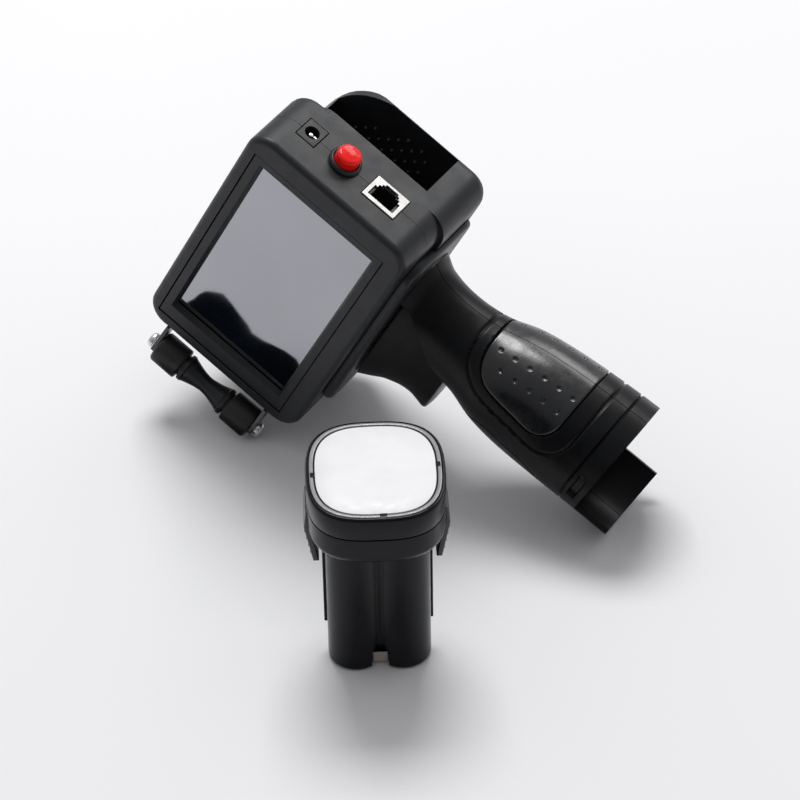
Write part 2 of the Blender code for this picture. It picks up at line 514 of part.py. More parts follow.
def roller_parts(frame, look):
    at = (0, ROLL_Y, ROLL_Z)
    x0, x1 = ROLL_X
    arms = (("bracket_upper", x0 - GAP - BRACKET_T), ("bracket_lower", x1 + GAP))
    for name, x in arms:
        outline = [(HEAD_Y + GAP, ROLL_Z + 0.2 * MM), (ROLL_Y + 1.0 * MM, ROLL_Z - ARM_HALF),
                   (ROLL_Y + ARM_HALF, ROLL_Z), (ROLL_Y + 1.0 * MM, ROLL_Z + ARM_HALF),
                   (HEAD_Y + GAP, ROLL_Z + 11 * MM)]
        arm = place(name, prism(outline, x, x + BRACKET_T, "X"), frame, look=look["steel"])
        foot_x = (x, x + 9 * MM) if name == "bracket_upper" else (x + BRACKET_T - 9 * MM, x + BRACKET_T)
        foot = cutter(f"add_{name}_foot", box_bm(foot_x[0], foot_x[1], HEAD_Y + GAP, HEAD_Y + GAP + BRACKET_T,
                                                 ROLL_Z + 8.5 * MM, ROLL_Z + 17 * MM), frame)
        web = cutter(f"add_{name}_web", box_bm(x, x + BRACKET_T, HEAD_Y + GAP, HEAD_Y + GAP + 5 * MM,
                                               ROLL_Z + 4 * MM, ROLL_Z + 17 * MM), frame)
        add(arm, web, foot)
        hole = cutter(f"cut_{name}_hole", round_bar(ROLL_Y, ROLL_Z, AXLE_R + GAP, x - OVER,
                                                    x + BRACKET_T + OVER, "X", sides=24), frame)
        cut(arm, hole)
    place("roller_axle", round_bar(ROLL_Y, ROLL_Z, AXLE_R, x0 - BRACKET_T - 2 * GAP, x1 + BRACKET_T + 2 * GAP,
                                   "X", sides=24), frame, look=look["steel"])
    bore = cutter("cut_roller_bore", round_bar(ROLL_Y, ROLL_Z, AXLE_R + GAP, x0 - OVER, x1 + OVER, "X",
                                               sides=24), frame)
    bead = 0.9 * MM
    wheel = [(0, ROLL_R - bead), (bead / 2, ROLL_R - bead / 4), (bead, ROLL_R), (WHEEL_L - 3.4 * MM, ROLL_R),
             (WHEEL_L - 3.1 * MM, ROLL_R - 0.5 * MM), (WHEEL_L - 2.9 * MM, ROLL_R - 2.2 * MM),
             (WHEEL_L - 2.0 * MM, ROLL_R - 2.3 * MM), (WHEEL_L - 1.8 * MM, ROLL_R - 0.9 * MM),
             (WHEEL_L, ROLL_R - 1.1 * MM)]
    upper = place("wheel_upper", turned(wheel, x0, (ROLL_Y, ROLL_Z)), frame, origin=at, look=look["soft"])
    mirrored = [(x1 - x0 - x, r) for x, r in reversed(wheel)]
    lower = place("wheel_lower", turned(mirrored, x0, (ROLL_Y, ROLL_Z)), frame, origin=at, look=look["soft"])
    length = x1 - x0 - 2 * WHEEL_L - 2 * GAP
    hub_profile = []
    hub_steps = 10
    for i in range(hub_steps + 1):
        t = i / hub_steps
        swell = abs(2 * t - 1) ** 1.6
        hub_profile.append((t * length, WAIST_R + (ROLL_R - 1.3 * MM - WAIST_R) * swell))
    hub = place("roller_hub", turned(hub_profile, x0 + WHEEL_L + GAP, (ROLL_Y, ROLL_Z)), frame, origin=at,
                look=look["shell"])
    for piece in (upper, lower, hub):
        cut(piece, bore)
    heads = (("axle_screw_upper", x0 - BRACKET_T - 3 * GAP, -1),
             ("axle_screw_lower", x1 + BRACKET_T + 3 * GAP, 1))
    for name, x, way in heads:
        profile = [(0, SCREW_R), (1.2 * MM, SCREW_R), (2.2 * MM, 0.8 * SCREW_R), (2.6 * MM, 0.5 * SCREW_R)]
        if way < 0:
            profile = [(-px, r) for px, r in reversed(profile)]
        screw = place(name, turned(profile, x, (ROLL_Y, ROLL_Z), 28), frame, look=look["steel"])
        slot_x = sorted((x + way * 1.5 * MM, x + way * 4 * MM))
        for turn, name_part in ((0, "a"), (1, "b")):
            half = (0.35 * MM, 1.9 * MM) if turn else (1.9 * MM, 0.35 * MM)
            cut(screw, cutter(f"cut_{name}_{name_part}", box_bm(slot_x[0], slot_x[1], ROLL_Y - half[0],
                                                                ROLL_Y + half[0], ROLL_Z - half[1],
                                                                ROLL_Z + half[1]), frame))


# ---------------------------------------------------------------- grip
def grip_size(x):
    """Smooth middle, half depth and half width of the grip at a place along the handle."""
    rows = STATIONS
    for k in range(len(rows) - 1):
        if x <= rows[k + 1][0] or k == len(rows) - 2:
            break
    a, b = rows[k], rows[k + 1]
    before = rows[k - 1] if k > 0 else a
    after = rows[k + 2] if k + 2 < len(rows) else b
    t = (x - a[0]) / (b[0] - a[0])
    out = []
    for i in (1, 2, 3):
        m0 = (b[i] - before[i]) / (b[0] - before[0]) * (b[0] - a[0])
        m1 = (after[i] - a[i]) / (after[0] - a[0]) * (b[0] - a[0])
        h = (2 * t ** 3 - 3 * t ** 2 + 1) * a[i] + (t ** 3 - 2 * t ** 2 + t) * m0
        h += (-2 * t ** 3 + 3 * t ** 2) * b[i] + (t ** 3 - t ** 2) * m1
        out.append(h)
    return out


def grip_bm(x0, x1, off=0.0, rings=22, extra=()):
    """Solid along the handle between two places, grown outward by off; extra gives ring grooves."""
    bm = bmesh.new()
    places = [x0 + (x1 - x0) * i / (rings - 1) for i in range(rings)]
    groove_w = 0.9 * MM
    for g in extra:
        places += [g - groove_w, g - groove_w * 0.4, g + groove_w * 0.4, g + groove_w]
    rows = []
    for x in sorted(places):
        middle, deep, wide = grip_size(x)
        dig = 0.0
        for g in extra:
            if abs(x - g) < groove_w * 0.5:
                dig = 0.7 * MM
        ring = []
        for i in range(RING):
            a = 2 * math.pi * (i + 0.5) / RING
            ring.append(bm.verts.new((x, middle + (deep + off - dig) * math.cos(a),
                                      GRIP_Z + (wide + off - dig) * math.sin(a))))
        rows.append(ring)
    skin(bm, rows)
    return bm


def palm_outline(size, by=0.0):
    """Side view of the palm panel: open to the back, round toward the front."""
    x0, x1, y1, r = size
    return rounded(x0 - by, x1 + by, -30 * MM, y1 + by, r + by)


def lip_cutter(frame, name):
    """Takes the back of the grip away beyond its rim, leaving the front lip."""
    middle = LIP[1]
    reach = 60 * MM
    back = middle + reach * math.cos(LIP_HALF_ANGLE)
    side = reach * math.sin(LIP_HALF_ANGLE)
    points = [(middle + 4 * MM, GRIP_Z), (back, GRIP_Z + side), (middle - reach, GRIP_Z + side),
              (middle - reach, GRIP_Z - side), (back, GRIP_Z - side)]
    return cutter(name, prism(points, GRIP_END, LIP_END + OVER, "X"), frame)


def dimples_bm(side):
    bm = bmesh.new()
    for first, count, angle in DIMPLE_ROWS:
        for i in range(count):
            x = first + i * DIMPLE_PITCH
            middle, deep, wide = grip_size(x)
            a = math.radians(angle)
            y = middle + deep * math.cos(a)
            z = GRIP_Z - side * wide * math.sin(a)
            ball = bmesh.ops.create_icosphere(bm, subdivisions=1, radius=DIMPLE_R)
            bmesh.ops.translate(bm, vec=(x, y, z), verts=ball["verts"])
    return bm


def grip_halves(frame, look):
    start = HEAD_X + FLANGE_T + GAP
    for name, side in (("grip_left", -1), ("grip_right", 1)):
        half = place(name, grip_bm(start, LIP_END, extra=(COLLAR_GROOVE,)), frame, look=look["shell"])
        hollow = cutter(f"cut_{name}_hollow", grip_bm(start - OVER, LIP_END + OVER, -GRIP_WALL), frame)
        z0, z1 = (GRIP_Z - GAP / 2, HEAD_Z + OVER) if side < 0 else (-OVER, GRIP_Z + GAP / 2)
        other = cutter(f"cut_{name}_split", box_bm(start - OVER, LIP_END + OVER, -20 * MM, 110 * MM, z0, z1),
                       frame)
        cut(half, hollow, other, lip_cutter(frame, f"cut_{name}_rim"))
        reach = sorted((GRIP_Z + side * GAP / 2, GRIP_Z + side * 45 * MM))
        pocket_reach = sorted((GRIP_Z - side * OVER, GRIP_Z + side * 45 * MM))
        pocket = cutter(f"cut_{name}_pocket", prism(palm_outline(PAD, GROOVE / 2), *pocket_reach), frame)
        cut(pocket, cutter(f"cut_{name}_core", grip_bm(start + 5 * MM, GRIP_END, -1.2 * MM), frame))
        loop = cutter(f"cut_{name}_loop", prism(palm_outline(LOOP, GROOVE), *pocket_reach), frame)
        cut(loop, cutter(f"cut_{name}_loop_in", prism(palm_outline(LOOP), *sorted((GRIP_Z - side * 2 * OVER,
                                                                                 GRIP_Z + side * 46 * MM))),
                         frame),
            cutter(f"cut_{name}_loop_core", grip_bm(start + 5 * MM, GRIP_END, -0.7 * MM), frame))
        cut(half, pocket, loop)
        pad = place(name.replace("grip", "pad"), prism(palm_outline(PAD), *reach), frame, look=look["soft"])
        keep(pad, cutter(f"keep_pad_{name}", grip_bm(start + 5 * MM, GRIP_END - 2 * MM), frame))
        cut(pad, cutter(f"cut_pad_{name}", grip_bm(start + 4 * MM, GRIP_END, -1.2 * MM + GAP), frame),
            cutter(f"cut_{name}_dimples", dimples_bm(side), frame))
        front = [(x, y) for x, y in CHEEK] + [(CHEEK[-1][0], 120 * MM), (CHEEK[0][0], 120 * MM)]
        cut(half, cutter(f"cut_{name}_trigger", prism(front, GRIP_Z - 40 * MM, GRIP_Z + 40 * MM), frame))
        latch_z = GRIP_Z + side * 25.8 * MM
        slot = cutter(f"cut_{name}_latch", box_bm(*LATCH_SLOT, latch_z - 5 * MM,
                                                  latch_z + 5 * MM), frame)
        cut(half, slot)


def grip_flange(frame, look):
    y0, y1 = FLANGE_Y
    z0, z1 = FLANGE_Z
    flange = place("grip_flange", prism(rounded(y0, y1, z0, z1, 8 * MM), HEAD_X + GAP, HEAD_X + FLANGE_T, "X",
                                        round_hi=2.5 * MM), frame, look=look["shell"])
    step = cutter("cut_flange_step", box_bm(HEAD_X - OVER, HOUSE_X1 + GAP, -OVER, HEAD_Y + OVER,
                                            BLOCK_Z - 7 * MM - GAP, HEAD_Z + OVER), frame)
    cut(flange, step)


def trigger_bm():
    """Rounded trigger, blunt at the back and fuller at the front."""
    bm = bmesh.new()
    rows = []
    sides = 36
    for x, back, front, half in TRIGGER_ROWS:
        middle = (back + front) / 2
        deep = (front - back) / 2
        ring = []
        for i in range(sides):
            a = 2 * math.pi * (i + 0.5) / sides
            power = 2 / 2.4 if math.cos(a) > 0 else 2 / 3.0
            dy = deep * math.copysign(abs(math.cos(a)) ** power, math.cos(a))
            dz = half * math.copysign(abs(math.sin(a)) ** power, math.sin(a))
            ring.append(bm.verts.new((x, middle + dy, GRIP_Z + dz)))
        rows.append(ring)
    skin(bm, rows)
    return bm


def trigger_parts(frame, look):
    """Finger trigger that slides back into the neck, and the switch behind it."""
    place("trigger", trigger_bm(), frame, origin=(TRIGGER_TOP, CHEEK[1][1], GRIP_Z), look=look["shell"])
    place("trigger_switch", prism(rounded(*SWITCH_X, 35.2 * MM, 43.0 * MM, 1.5 * MM),
                                  GRIP_Z - 7.6 * MM, GRIP_Z + 7.6 * MM), frame, look=look["insert"])


def socket_parts(frame, look):
    """Terminal block deep in the grip that the battery meets."""
    inner = -GRIP_WALL - GAP
    block = place("terminal_block", grip_bm(SOCKET_FROM - 8 * MM, SOCKET_FROM, inner, 4), frame,
                  look=look["insert"])
    for i in range(3):
        z = GRIP_Z + (i - 1) * 8 * MM
        place(f"terminal_{i + 1}", box_bm(SOCKET_FROM - 4 * MM, SOCKET_FROM + 7 * MM, 46 * MM, 52 * MM,
                                          z - 0.5 * MM, z + 0.5 * MM), frame, look=look["brass"])
        cut(block, cutter(f"cut_terminal_{i + 1}", box_bm(SOCKET_FROM - 4 * MM - GAP, SOCKET_FROM + OVER,
                                                          46 * MM - GAP, 52 * MM + GAP, z - 0.5 * MM - GAP,
                                                          z + 0.5 * MM + GAP), frame))


# ---------------------------------------------------------------- battery
def lobed(off=0.0):
    """Outline of three round lobes that flow into each other, drawn in by off."""
    points = []
    count = 72
    power = 6
    for i in range(count):
        a = 2 * math.pi * (i + 0.5) / count
        total = 0.0
        for lobe in (90, 210, 330):
            swing = a - math.radians(lobe)
            inside = LOBE_R ** 2 - (LOBE_D * math.sin(swing)) ** 2
            if inside > 0:
                total += max(0.0, LOBE_D * math.cos(swing) + math.sqrt(inside)) ** power
        r = total ** (1 / power) - off
        points.append((r * math.cos(a), r * math.sin(a)))
    return points


def cap_outline(off=0.0):
    points = []
    count = 56
    for i in range(count):
        a = 2 * math.pi * (i + 0.5) / count
        ca, sa = math.cos(a), math.sin(a)
        points.append(((CAP_X / 2 - off) * math.copysign(abs(ca) ** (2 / CAP_POWER), ca),
                       (CAP_Y / 2 - off) * math.copysign(abs(sa) ** (2 / CAP_POWER), sa)))
    return points


def battery(look):
    stand = bpy.data.objects.new("battery_axes", None)
    bpy.context.scene.collection.objects.link(stand)
    stand.location = (BATTERY_AT[0], BATTERY_AT[1], 0)
    stand.rotation_euler = (0, 0, BATTERY_YAW)
    body = place("battery_body", prism(lobed(), 0, BODY_H + 4 * MM, round_lo=0.8 * MM, steps=2), stand,
                 look=look["shell"])
    for i, side in enumerate((-1, 1)):
        rail_x = sorted((side * RAIL_OUT, side * (LOBE_D + LOBE_R / 2)))
        rail = box_bm(*rail_x, 0, 3.0 * MM, RAIL_FROM, BODY_H - 4 * MM)
        add(body, cutter(f"add_body_rail_{i}", rail, stand))
    cut(body, cutter("cut_body_hollow", prism(lobed(BATTERY_WALL), BATTERY_WALL, BODY_H + 6 * MM), stand))
    front = -LOBE_R - 0.5 * MM
    notch = cutter("cut_body_notch", box_bm(-3.2 * MM, 3.2 * MM, -LOBE_D - LOBE_R, front + 4 * MM, -OVER,
                                            NOTCH_H), stand)
    cut(body, notch)
    for i, a in enumerate((90, 210, 330)):
        r = LOBE_D
        cx = r * math.cos(math.radians(a))
        cy = r * math.sin(math.radians(a))
        place(f"cell_{i + 1}", round_bar(cx, cy, CELL_R, NOTCH_H + 1.5 * MM, BODY_H + 2 * MM,
                                         chamfer=0.6 * MM, sides=28), stand, look=look["cell"])
    seam = BODY_H + COLLAR_H
    top = seam + CAP_H
    collar = place("battery_collar", prism(cap_outline(), BODY_H + GAP, seam - GAP / 2, round_lo=4.0 * MM),
                   stand, look=look["shell"])
    seat = cutter("cut_collar_seat", prism(lobed(-GAP), BODY_H - OVER, BODY_H + 4 * MM + GAP), stand)
    room_in = cutter("cut_collar_room", prism(lobed(BATTERY_WALL), BODY_H, seam + OVER), stand)
    cut(collar, seat, room_in)
    cap = place("battery_cap", prism(cap_outline(), seam + GAP / 2, top, round_hi=1.2 * MM), stand,
                look=look["shell"])
    cut(cap, cutter("cut_cap_top", prism(cap_outline(1.2 * MM), top - 0.8 * MM, top + OVER), stand))
    ring = place("cap_rim", prism(cap_outline(1.5 * MM), top - 0.5 * MM, top + 0.2 * MM), stand,
                 look=look["rim"])
    cut(ring, cutter("cut_cap_rim", prism(cap_outline(3.0 * MM), top - OVER, top + OVER), stand))
    place("battery_label", prism(cap_outline(3.3 * MM), top - 0.5 * MM, top + 0.1 * MM), stand,
          look=look["label"])
    for name, side in (("latch_left", -1), ("latch_right", 1)):
        flat = side * CAP_X / 2
        room = sorted((flat - side * LATCH_ROOM, flat + side * OVER))
        cut(collar, cutter(f"cut_{name}_room", box_bm(room[0], room[1], -LATCH_HALF - GAP, LATCH_HALF + GAP,
                                                      BODY_H - OVER, BODY_H + LATCH_RISE + GAP), stand))
        hinge = BODY_H + LATCH_RISE
        foot = BODY_H - LATCH_DROP
        shoulder = BODY_H + 2 * MM
        profile = ((0.4 * MM, hinge), (LATCH_OUT, shoulder), (-LATCH_IN, foot), (-LATCH_IN - LATCH_T, foot),
                   (LATCH_OUT - LATCH_T, shoulder), (0.4 * MM - LATCH_T, hinge))
        latch = place(name, prism([(flat + side * x, z) for x, z in profile], -LATCH_HALF, LATCH_HALF, "Y",
                                  0.5 * MM, 0.5 * MM, 2), stand, origin=(flat, 0, hinge), look=look["shell"])
        for k in range(4):
            z = shoulder - 3.4 * MM * (k + 1)
            face = LATCH_OUT + (LATCH_OUT + LATCH_IN) * (z - shoulder) / (shoulder - foot)
            rib_x = sorted((flat + side * (face - 1.0 * MM), flat + side * (face + 0.5 * MM)))
            add(latch, cutter(f"add_{name}_rib_{k}", box_bm(rib_x[0], rib_x[1], -6.5 * MM, 6.5 * MM, z,
                                                            z + 1.3 * MM), stand))
        knuckle = cutter(f"add_{name}_knuckle", box_bm(*sorted((flat - side * (LATCH_ROOM - GAP), flat)),
                                                       -5 * MM, 5 * MM, BODY_H + LATCH_RISE - 3 * MM,
                                                       BODY_H + LATCH_RISE - 0.7 * MM), stand)
        add(latch, knuckle)
    place("battery_contact", box_bm(-2.9 * MM, 2.9 * MM, front - 0.4 * MM, front + 0.6 * MM, 0.6 * MM,
                                    NOTCH_H - GAP),
          stand, look=look["brass"])
    return stand


# ---------------------------------------------------------------- assembly
def centre(roots):
    """Puts the middle of the whole object's footprint over the origin."""
    bpy.context.view_layer.update()
    graph = bpy.context.evaluated_depsgraph_get()
    low = [math.inf, math.inf]
    high = [-math.inf, -math.inf]
    for node in bpy.data.objects:
        if node.type != "MESH" or node.hide_render:
            continue
        shown = node.evaluated_get(graph)
        for vert in shown.data.vertices:
            at = shown.matrix_world @ vert.co
            for i in range(2):
                low[i] = min(low[i], at[i])
                high[i] = max(high[i], at[i])
    for root in roots:
        root.location.x -= (low[0] + high[0]) / 2
        root.location.y -= (low[1] + high[1]) / 2


def main():
    clear()
    look = looks()
    frame = bpy.data.objects.new("printer_axes", None)
    bpy.context.scene.collection.objects.link(frame)
    c, s = math.cos(THETA), math.sin(THETA)
    turn = Matrix(((c, -s, 0, 0), (0, 0, 1, 0), (-s, -c, 0, DROP), (0, 0, 0, 1)))
    frame.matrix_world = turn
    sockets = socket_cutters(frame)
    bezel_shell(frame, look["shell"], sockets)
    screen_parts(frame, look)
    board_z = rear_shell(frame, look, sockets)
    side_cover(frame, look["shell"], look["steel"])
    rear_face_parts(frame, look, board_z)
    bay_parts(frame, look)
    printing_end(frame, look)
    roller_parts(frame, look)
    grip_flange(frame, look)
    grip_halves(frame, look)
    trigger_parts(frame, look)
    socket_parts(frame, look)
    stand = battery(look)
    centre((frame, stand))


main()
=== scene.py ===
import json
import math

import bmesh
import bpy
from mathutils import Matrix, Vector


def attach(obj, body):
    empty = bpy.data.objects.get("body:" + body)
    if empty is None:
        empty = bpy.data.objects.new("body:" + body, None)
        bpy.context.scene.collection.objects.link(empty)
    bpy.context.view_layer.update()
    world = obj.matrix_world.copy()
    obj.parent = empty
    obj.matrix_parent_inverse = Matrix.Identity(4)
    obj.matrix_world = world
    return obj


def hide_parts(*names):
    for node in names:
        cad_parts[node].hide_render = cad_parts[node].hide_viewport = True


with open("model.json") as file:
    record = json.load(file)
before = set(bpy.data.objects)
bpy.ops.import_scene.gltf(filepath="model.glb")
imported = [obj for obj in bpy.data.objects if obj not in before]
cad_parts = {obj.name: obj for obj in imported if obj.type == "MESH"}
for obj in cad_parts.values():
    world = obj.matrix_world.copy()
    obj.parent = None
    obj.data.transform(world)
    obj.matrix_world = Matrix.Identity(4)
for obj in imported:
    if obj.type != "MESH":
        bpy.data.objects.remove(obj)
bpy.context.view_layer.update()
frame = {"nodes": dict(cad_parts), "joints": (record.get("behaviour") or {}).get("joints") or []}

NODES = frame["nodes"]
JOINTS = {joint["name"]: joint for joint in frame["joints"]}

# Lengths below are in millimetres.  The printer's own axes run x down the handle, y forward to the
# printing end and z from the screen side to the cartridge side.
MM = 0.001
GAP = 0.3                           # clearance between pieces
LEAN = math.radians(28.413707)      # how steeply the handle slopes to the floor

# ---- roller ----
ROLL_X0, ROLL_X1, ROLL_Y, ROLL_Z = 13.8, 64.0, 136.8, 0.8       # both ends and the axis
ROLL_R, WHEEL_L, BORE, WAIST_R = 7.0, 15.5, 1.9, 3.6            # BORE and WAIST_R are radii

# ---- grip: place along the handle, middle, half depth, half width ----
STATIONS = ((83.2, 49.5, 25.0, 21.5), (90.0, 49.0, 20.0, 18.6), (103.0, 48.6, 17.8, 17.0),
            (118.0, 48.0, 19.2, 18.2), (132.0, 47.0, 22.9, 22.7), (146.0, 46.0, 25.6, 24.0),
            (165.0, 44.2, 26.4, 25.2), (187.0, 42.5, 26.6, 25.8), (203.0, 42.0, 26.6, 25.8))
GRIP_Z = 32.0
GRIP_START = 83.5
OPENING_END = 115.8                 # lower end of the trigger opening
RIM_X, LIP_X = 187.0, 203.0         # end of the open rim, and of the lip beyond it
LIP_ANGLE = math.radians(56.3)
GRIP_WALL = 2.0
CHEEK = ((79.0, 35.5), (87.0, 37.5), (97.0, 45.5), (107.0, 56.0), (115.8, 61.0))    # opening's edge
PALM_PANEL = (120.0, 162.3, 38.6, 11.0)             # start, end, side edge, corner radius
PALM_LOOP = (115.0, 169.8, 43.4, 14.0)
FINGER_STRIP = (127.0, 171.5, 54.5, 15.0)
COLLAR_LINE = 178.3
CATCH = (182.4, 43.5, 1.8, 6.5)                     # window that a battery latch snaps into
PANEL_DEPTH, LOOP_DEPTH, STRIP_DEPTH, COLLAR_DEPTH, CATCH_DEPTH = 1.25, 0.75, 0.5, 0.75, 1.7
DIMPLES = ((125.1, 6, 154.0), (130.6, 5, 136.0))    # first place, count, angle round the grip
DIMPLE_PITCH, DIMPLE_R, DIMPLE_DEPTH = 6.8, 1.1, 0.6
PAD_PROUD, PAD_UNDER = 0.05, 0.9                    # pad's face and back, from the grip's skin
PAD_EDGE, PAD_EDGE_FALL = 0.7, 0.4                  # width and depth of its rounded edge

# ---- trigger: place along the handle, back, front, half width ----
TRIGGER = ((84.0, 35.0, 99.5, 14.6), (90.0, 36.5, 94.5, 14.4), (94.0, 39.0, 91.0, 14.0),
           (98.0, 41.5, 88.8, 13.6), (102.0, 44.5, 87.5, 12.8), (106.5, 48.0, 87.5, 11.8),
           (110.5, 50.5, 89.0, 11.0), (113.2, 52.0, 90.0, 10.4), (114.7, 53.0, 89.0, 9.6),
           (115.3, 56.0, 85.5, 7.0))

# ---- room light: the side that is bright, and the room's level away from it and towards it ----
BRIGHT_SIDE = (-0.4, 0.75, 0.53)
ROOM = (0.13, 0.6)

# ---- battery ----
LOBE_D, LOBE_R = 10.4, 10.7                         # lobes from the middle, and their radius
CAP_X, CAP_Y, CAP_POWER = 52.2, 57.4, 2.9           # a higher power makes the cap squarer
BODY_H, COLLAR_H, CAP_H = 64.4, 12.5, 10.0
NOTCH_H = 8.0
RAIL_OUT, RAIL_FROM = 20.9, 12.0                    # guide rails' outer edge and lower end
CLIP_TURNS, CLIP_IN = (0.003, 0.504, 0.7545), 2.85  # share of the way round, and in from the edge

# ---- head, and what is set in its rear face ----
HEAD_X, HEAD_Y, HEAD_CORNER, SEAM_Z = 79.0, 125.0, 10.0, 17.5
BUTTON_X, BUTTON_Z, BUTTON_R = 33.4, 17.6, 5.1
SUPPLY_X, SUPPLY_Z = 16.2, 18.5
SOCKET_X, SOCKET_Z, WIRES, WIRE_PITCH = 54.2, 17.7, 8, 1.05

# ---- cartridge bay: dots pressed in the cover's inner face, with a painted highlight on their tips ----
COVER_INSIDE = 59.6
DOT_ROWS, DOT_PITCH, DOT_R, DOT_OUT = (6, 5, 5, 4, 3, 2), 6.9, 0.5, 0.58
DOT_FROM = (53.1, 27.5)

# ---- camera, in metres: lens in millimetres, its axes, its place from the printer's corner ----
LENS = 161.68
VIEW_RIGHT, VIEW_UP = (0.8526, 0.5224, -0.014), (-0.3204, 0.5438, 0.7757)
VIEW_BACK = (0.4128, -0.6569, 0.631)
VIEW_FROM = (0.6496, -0.9323, 0.9451)


# ---------------------------------------------------------------- axes
def printer_axes():
    """Printer millimetres to the row frame, placed by the roller's joint."""
    c, s = math.cos(LEAN), math.sin(LEAN)
    at = JOINTS["roller_spin"]["pos_m"]
    x0 = at[0] - (c * ROLL_X0 - s * ROLL_Y) * MM
    z0 = at[2] + (s * ROLL_X0 + c * ROLL_Y) * MM
    turn = Matrix(((c, -s, 0, x0), (0, 0, 1, at[1] - ROLL_Z * MM), (-s, -c, 0, z0), (0, 0, 0, 1)))
    return turn @ Matrix.Scale(MM, 4)


def battery_axes():
    """Battery millimetres to the row frame, placed by the joints of its two latches."""
    left = Vector(JOINTS["latch_left_press"]["pos_m"])
    right = Vector(JOINTS["latch_right_press"]["pos_m"])
    middle = (left + right) / 2
    x = (right - left).normalized()
    y = Vector((-x.y, x.x, 0))
    turn = Matrix(((x.x, y.x, 0, middle.x), (x.y, y.y, 0, middle.y), (0, 0, 1, 0), (0, 0, 0, 1)))
    return turn @ Matrix.Scale(MM, 4)


PRINTER = printer_axes()
BATTERY = battery_axes()


# ---------------------------------------------------------------- finishes
def set_range(node, taken, given):
    """Sets a Map Range node to turn the range `taken` into the range `given`."""
    for key, number in zip(("From Min", "From Max", "To Min", "To Max"), (*taken, *given)):
        node.inputs[key].default_value = number


class Finish:
    """A node material on Object coordinates, built up a step at a time."""

    def __init__(self, name, colour, rough, metal=0.0, gloss=0.5):
        self.made = bpy.data.materials.new(name)
        self.made.use_nodes = True
        self.tree = self.made.node_tree
        self.shader = self.tree.nodes["Principled BSDF"]
        self.shader.inputs["Base Color"].default_value = (*colour, 1.0)
        self.shader.inputs["Roughness"].default_value = rough
        self.shader.inputs["Metallic"].default_value = metal
        self.shader.inputs["Specular IOR Level"].default_value = gloss
        self.coord = self.tree.nodes.new("ShaderNodeTexCoord")
        self.height = None

    def node(self, kind):
        return self.tree.nodes.new(kind)

    def link(self, a, b):
        self.tree.links.new(a, b)

    def noise(self, scale, detail=3.0, rough=0.5, stretch=None):
        """Noise with `scale` features per metre, drawn out where `stretch` says so."""
        made = self.node("ShaderNodeTexNoise")
        made.inputs["Scale"].default_value = scale
        made.inputs["Detail"].default_value = detail
        made.inputs["Roughness"].default_value = rough
        source = self.coord.outputs["Object"]
        if stretch:
            place = self.node("ShaderNodeMapping")
            place.inputs["Scale"].default_value = stretch
            self.link(source, place.inputs["Vector"])
            source = place.outputs["Vector"]
        self.link(source, made.inputs["Vector"])
        return made.outputs["Fac"]

    def colour_between(self, value, dark, light):
        """Colour that wanders between two tones."""
        ramp = self.node("ShaderNodeValToRGB")
        for stop, place, tone in zip(ramp.color_ramp.elements, (0.35, 0.65), (dark, light)):
            stop.position = place
            stop.color = (*tone, 1.0)
        self.link(value, ramp.inputs["Fac"])
        self.link(ramp.outputs["Color"], self.shader.inputs["Base Color"])
        return self

    def rough_between(self, value, low, high):
        """Roughness that wanders between two levels."""
        made = self.node("ShaderNodeMapRange")
        set_range(made, (0.3, 0.7), (low, high))
        self.link(value, made.inputs["Value"])
        self.link(made.outputs["Result"], self.shader.inputs["Roughness"])
        return self

    def bump(self, value, depth, strength=1.0):
        """Adds a relief `depth` millimetres deep."""
        made = self.node("ShaderNodeBump")
        made.inputs["Distance"].default_value = depth * MM
        made.inputs["Strength"].default_value = strength
        self.link(value, made.inputs["Height"])
        if self.height:
            self.link(self.height, made.inputs["Normal"])
        self.height = made.outputs["Normal"]
        self.link(self.height, self.shader.inputs["Normal"])
        return self


def moulded_plastic(name, colour, rough, grain=0.02, pitch=1500.0, gloss=0.45):
    """Black moulded plastic with a fine spark texture and faint flow marks."""
    f = Finish(name, colour, rough, gloss=gloss)
    light = tuple(min(1.0, c * 1.35 + 0.002) for c in colour)
    f.colour_between(f.noise(55.0, 5.0, 0.6), colour, light)
    f.rough_between(f.noise(130.0, 6.0, 0.65), rough - 0.07, rough + 0.08)
    f.bump(f.noise(pitch, 2.0, 0.5), grain, 0.55)
    f.bump(f.noise(24.0, 2.0, 0.5), 0.05, 0.25)
    return f.made


def soft_rubber(name, colour, rough, gloss=0.5):
    """Rubbery pad with a leathery fine grain."""
    f = Finish(name, colour, rough, gloss=gloss)
    light = tuple(c * 1.4 + 0.002 for c in colour)
    f.colour_between(f.noise(70.0, 5.0, 0.6), colour, light)
    f.rough_between(f.noise(260.0, 5.0, 0.6), rough - 0.06, rough + 0.08)
    cells = f.node("ShaderNodeTexVoronoi")
    cells.inputs["Scale"].default_value = 900.0
    f.link(f.coord.outputs["Object"], cells.inputs["Vector"])
    f.bump(cells.outputs["Distance"], 0.03, 0.35)
    f.bump(f.noise(1900.0, 2.0, 0.5), 0.015, 0.4)
    return f.made


def metal(name, colour, rough, stretch=(1.0, 1.0, 12.0)):
    """Machined or plated metal with fine directional marks."""
    f = Finish(name, colour, rough, 1.0)
    dark = tuple(c * 0.78 for c in colour)
    f.colour_between(f.noise(160.0, 4.0, 0.6), dark, colour)
    marks = f.noise(900.0, 3.0, 0.6, stretch)
    f.rough_between(marks, rough - 0.08, rough + 0.12)
    f.bump(marks, 0.01, 0.35)
    return f.made


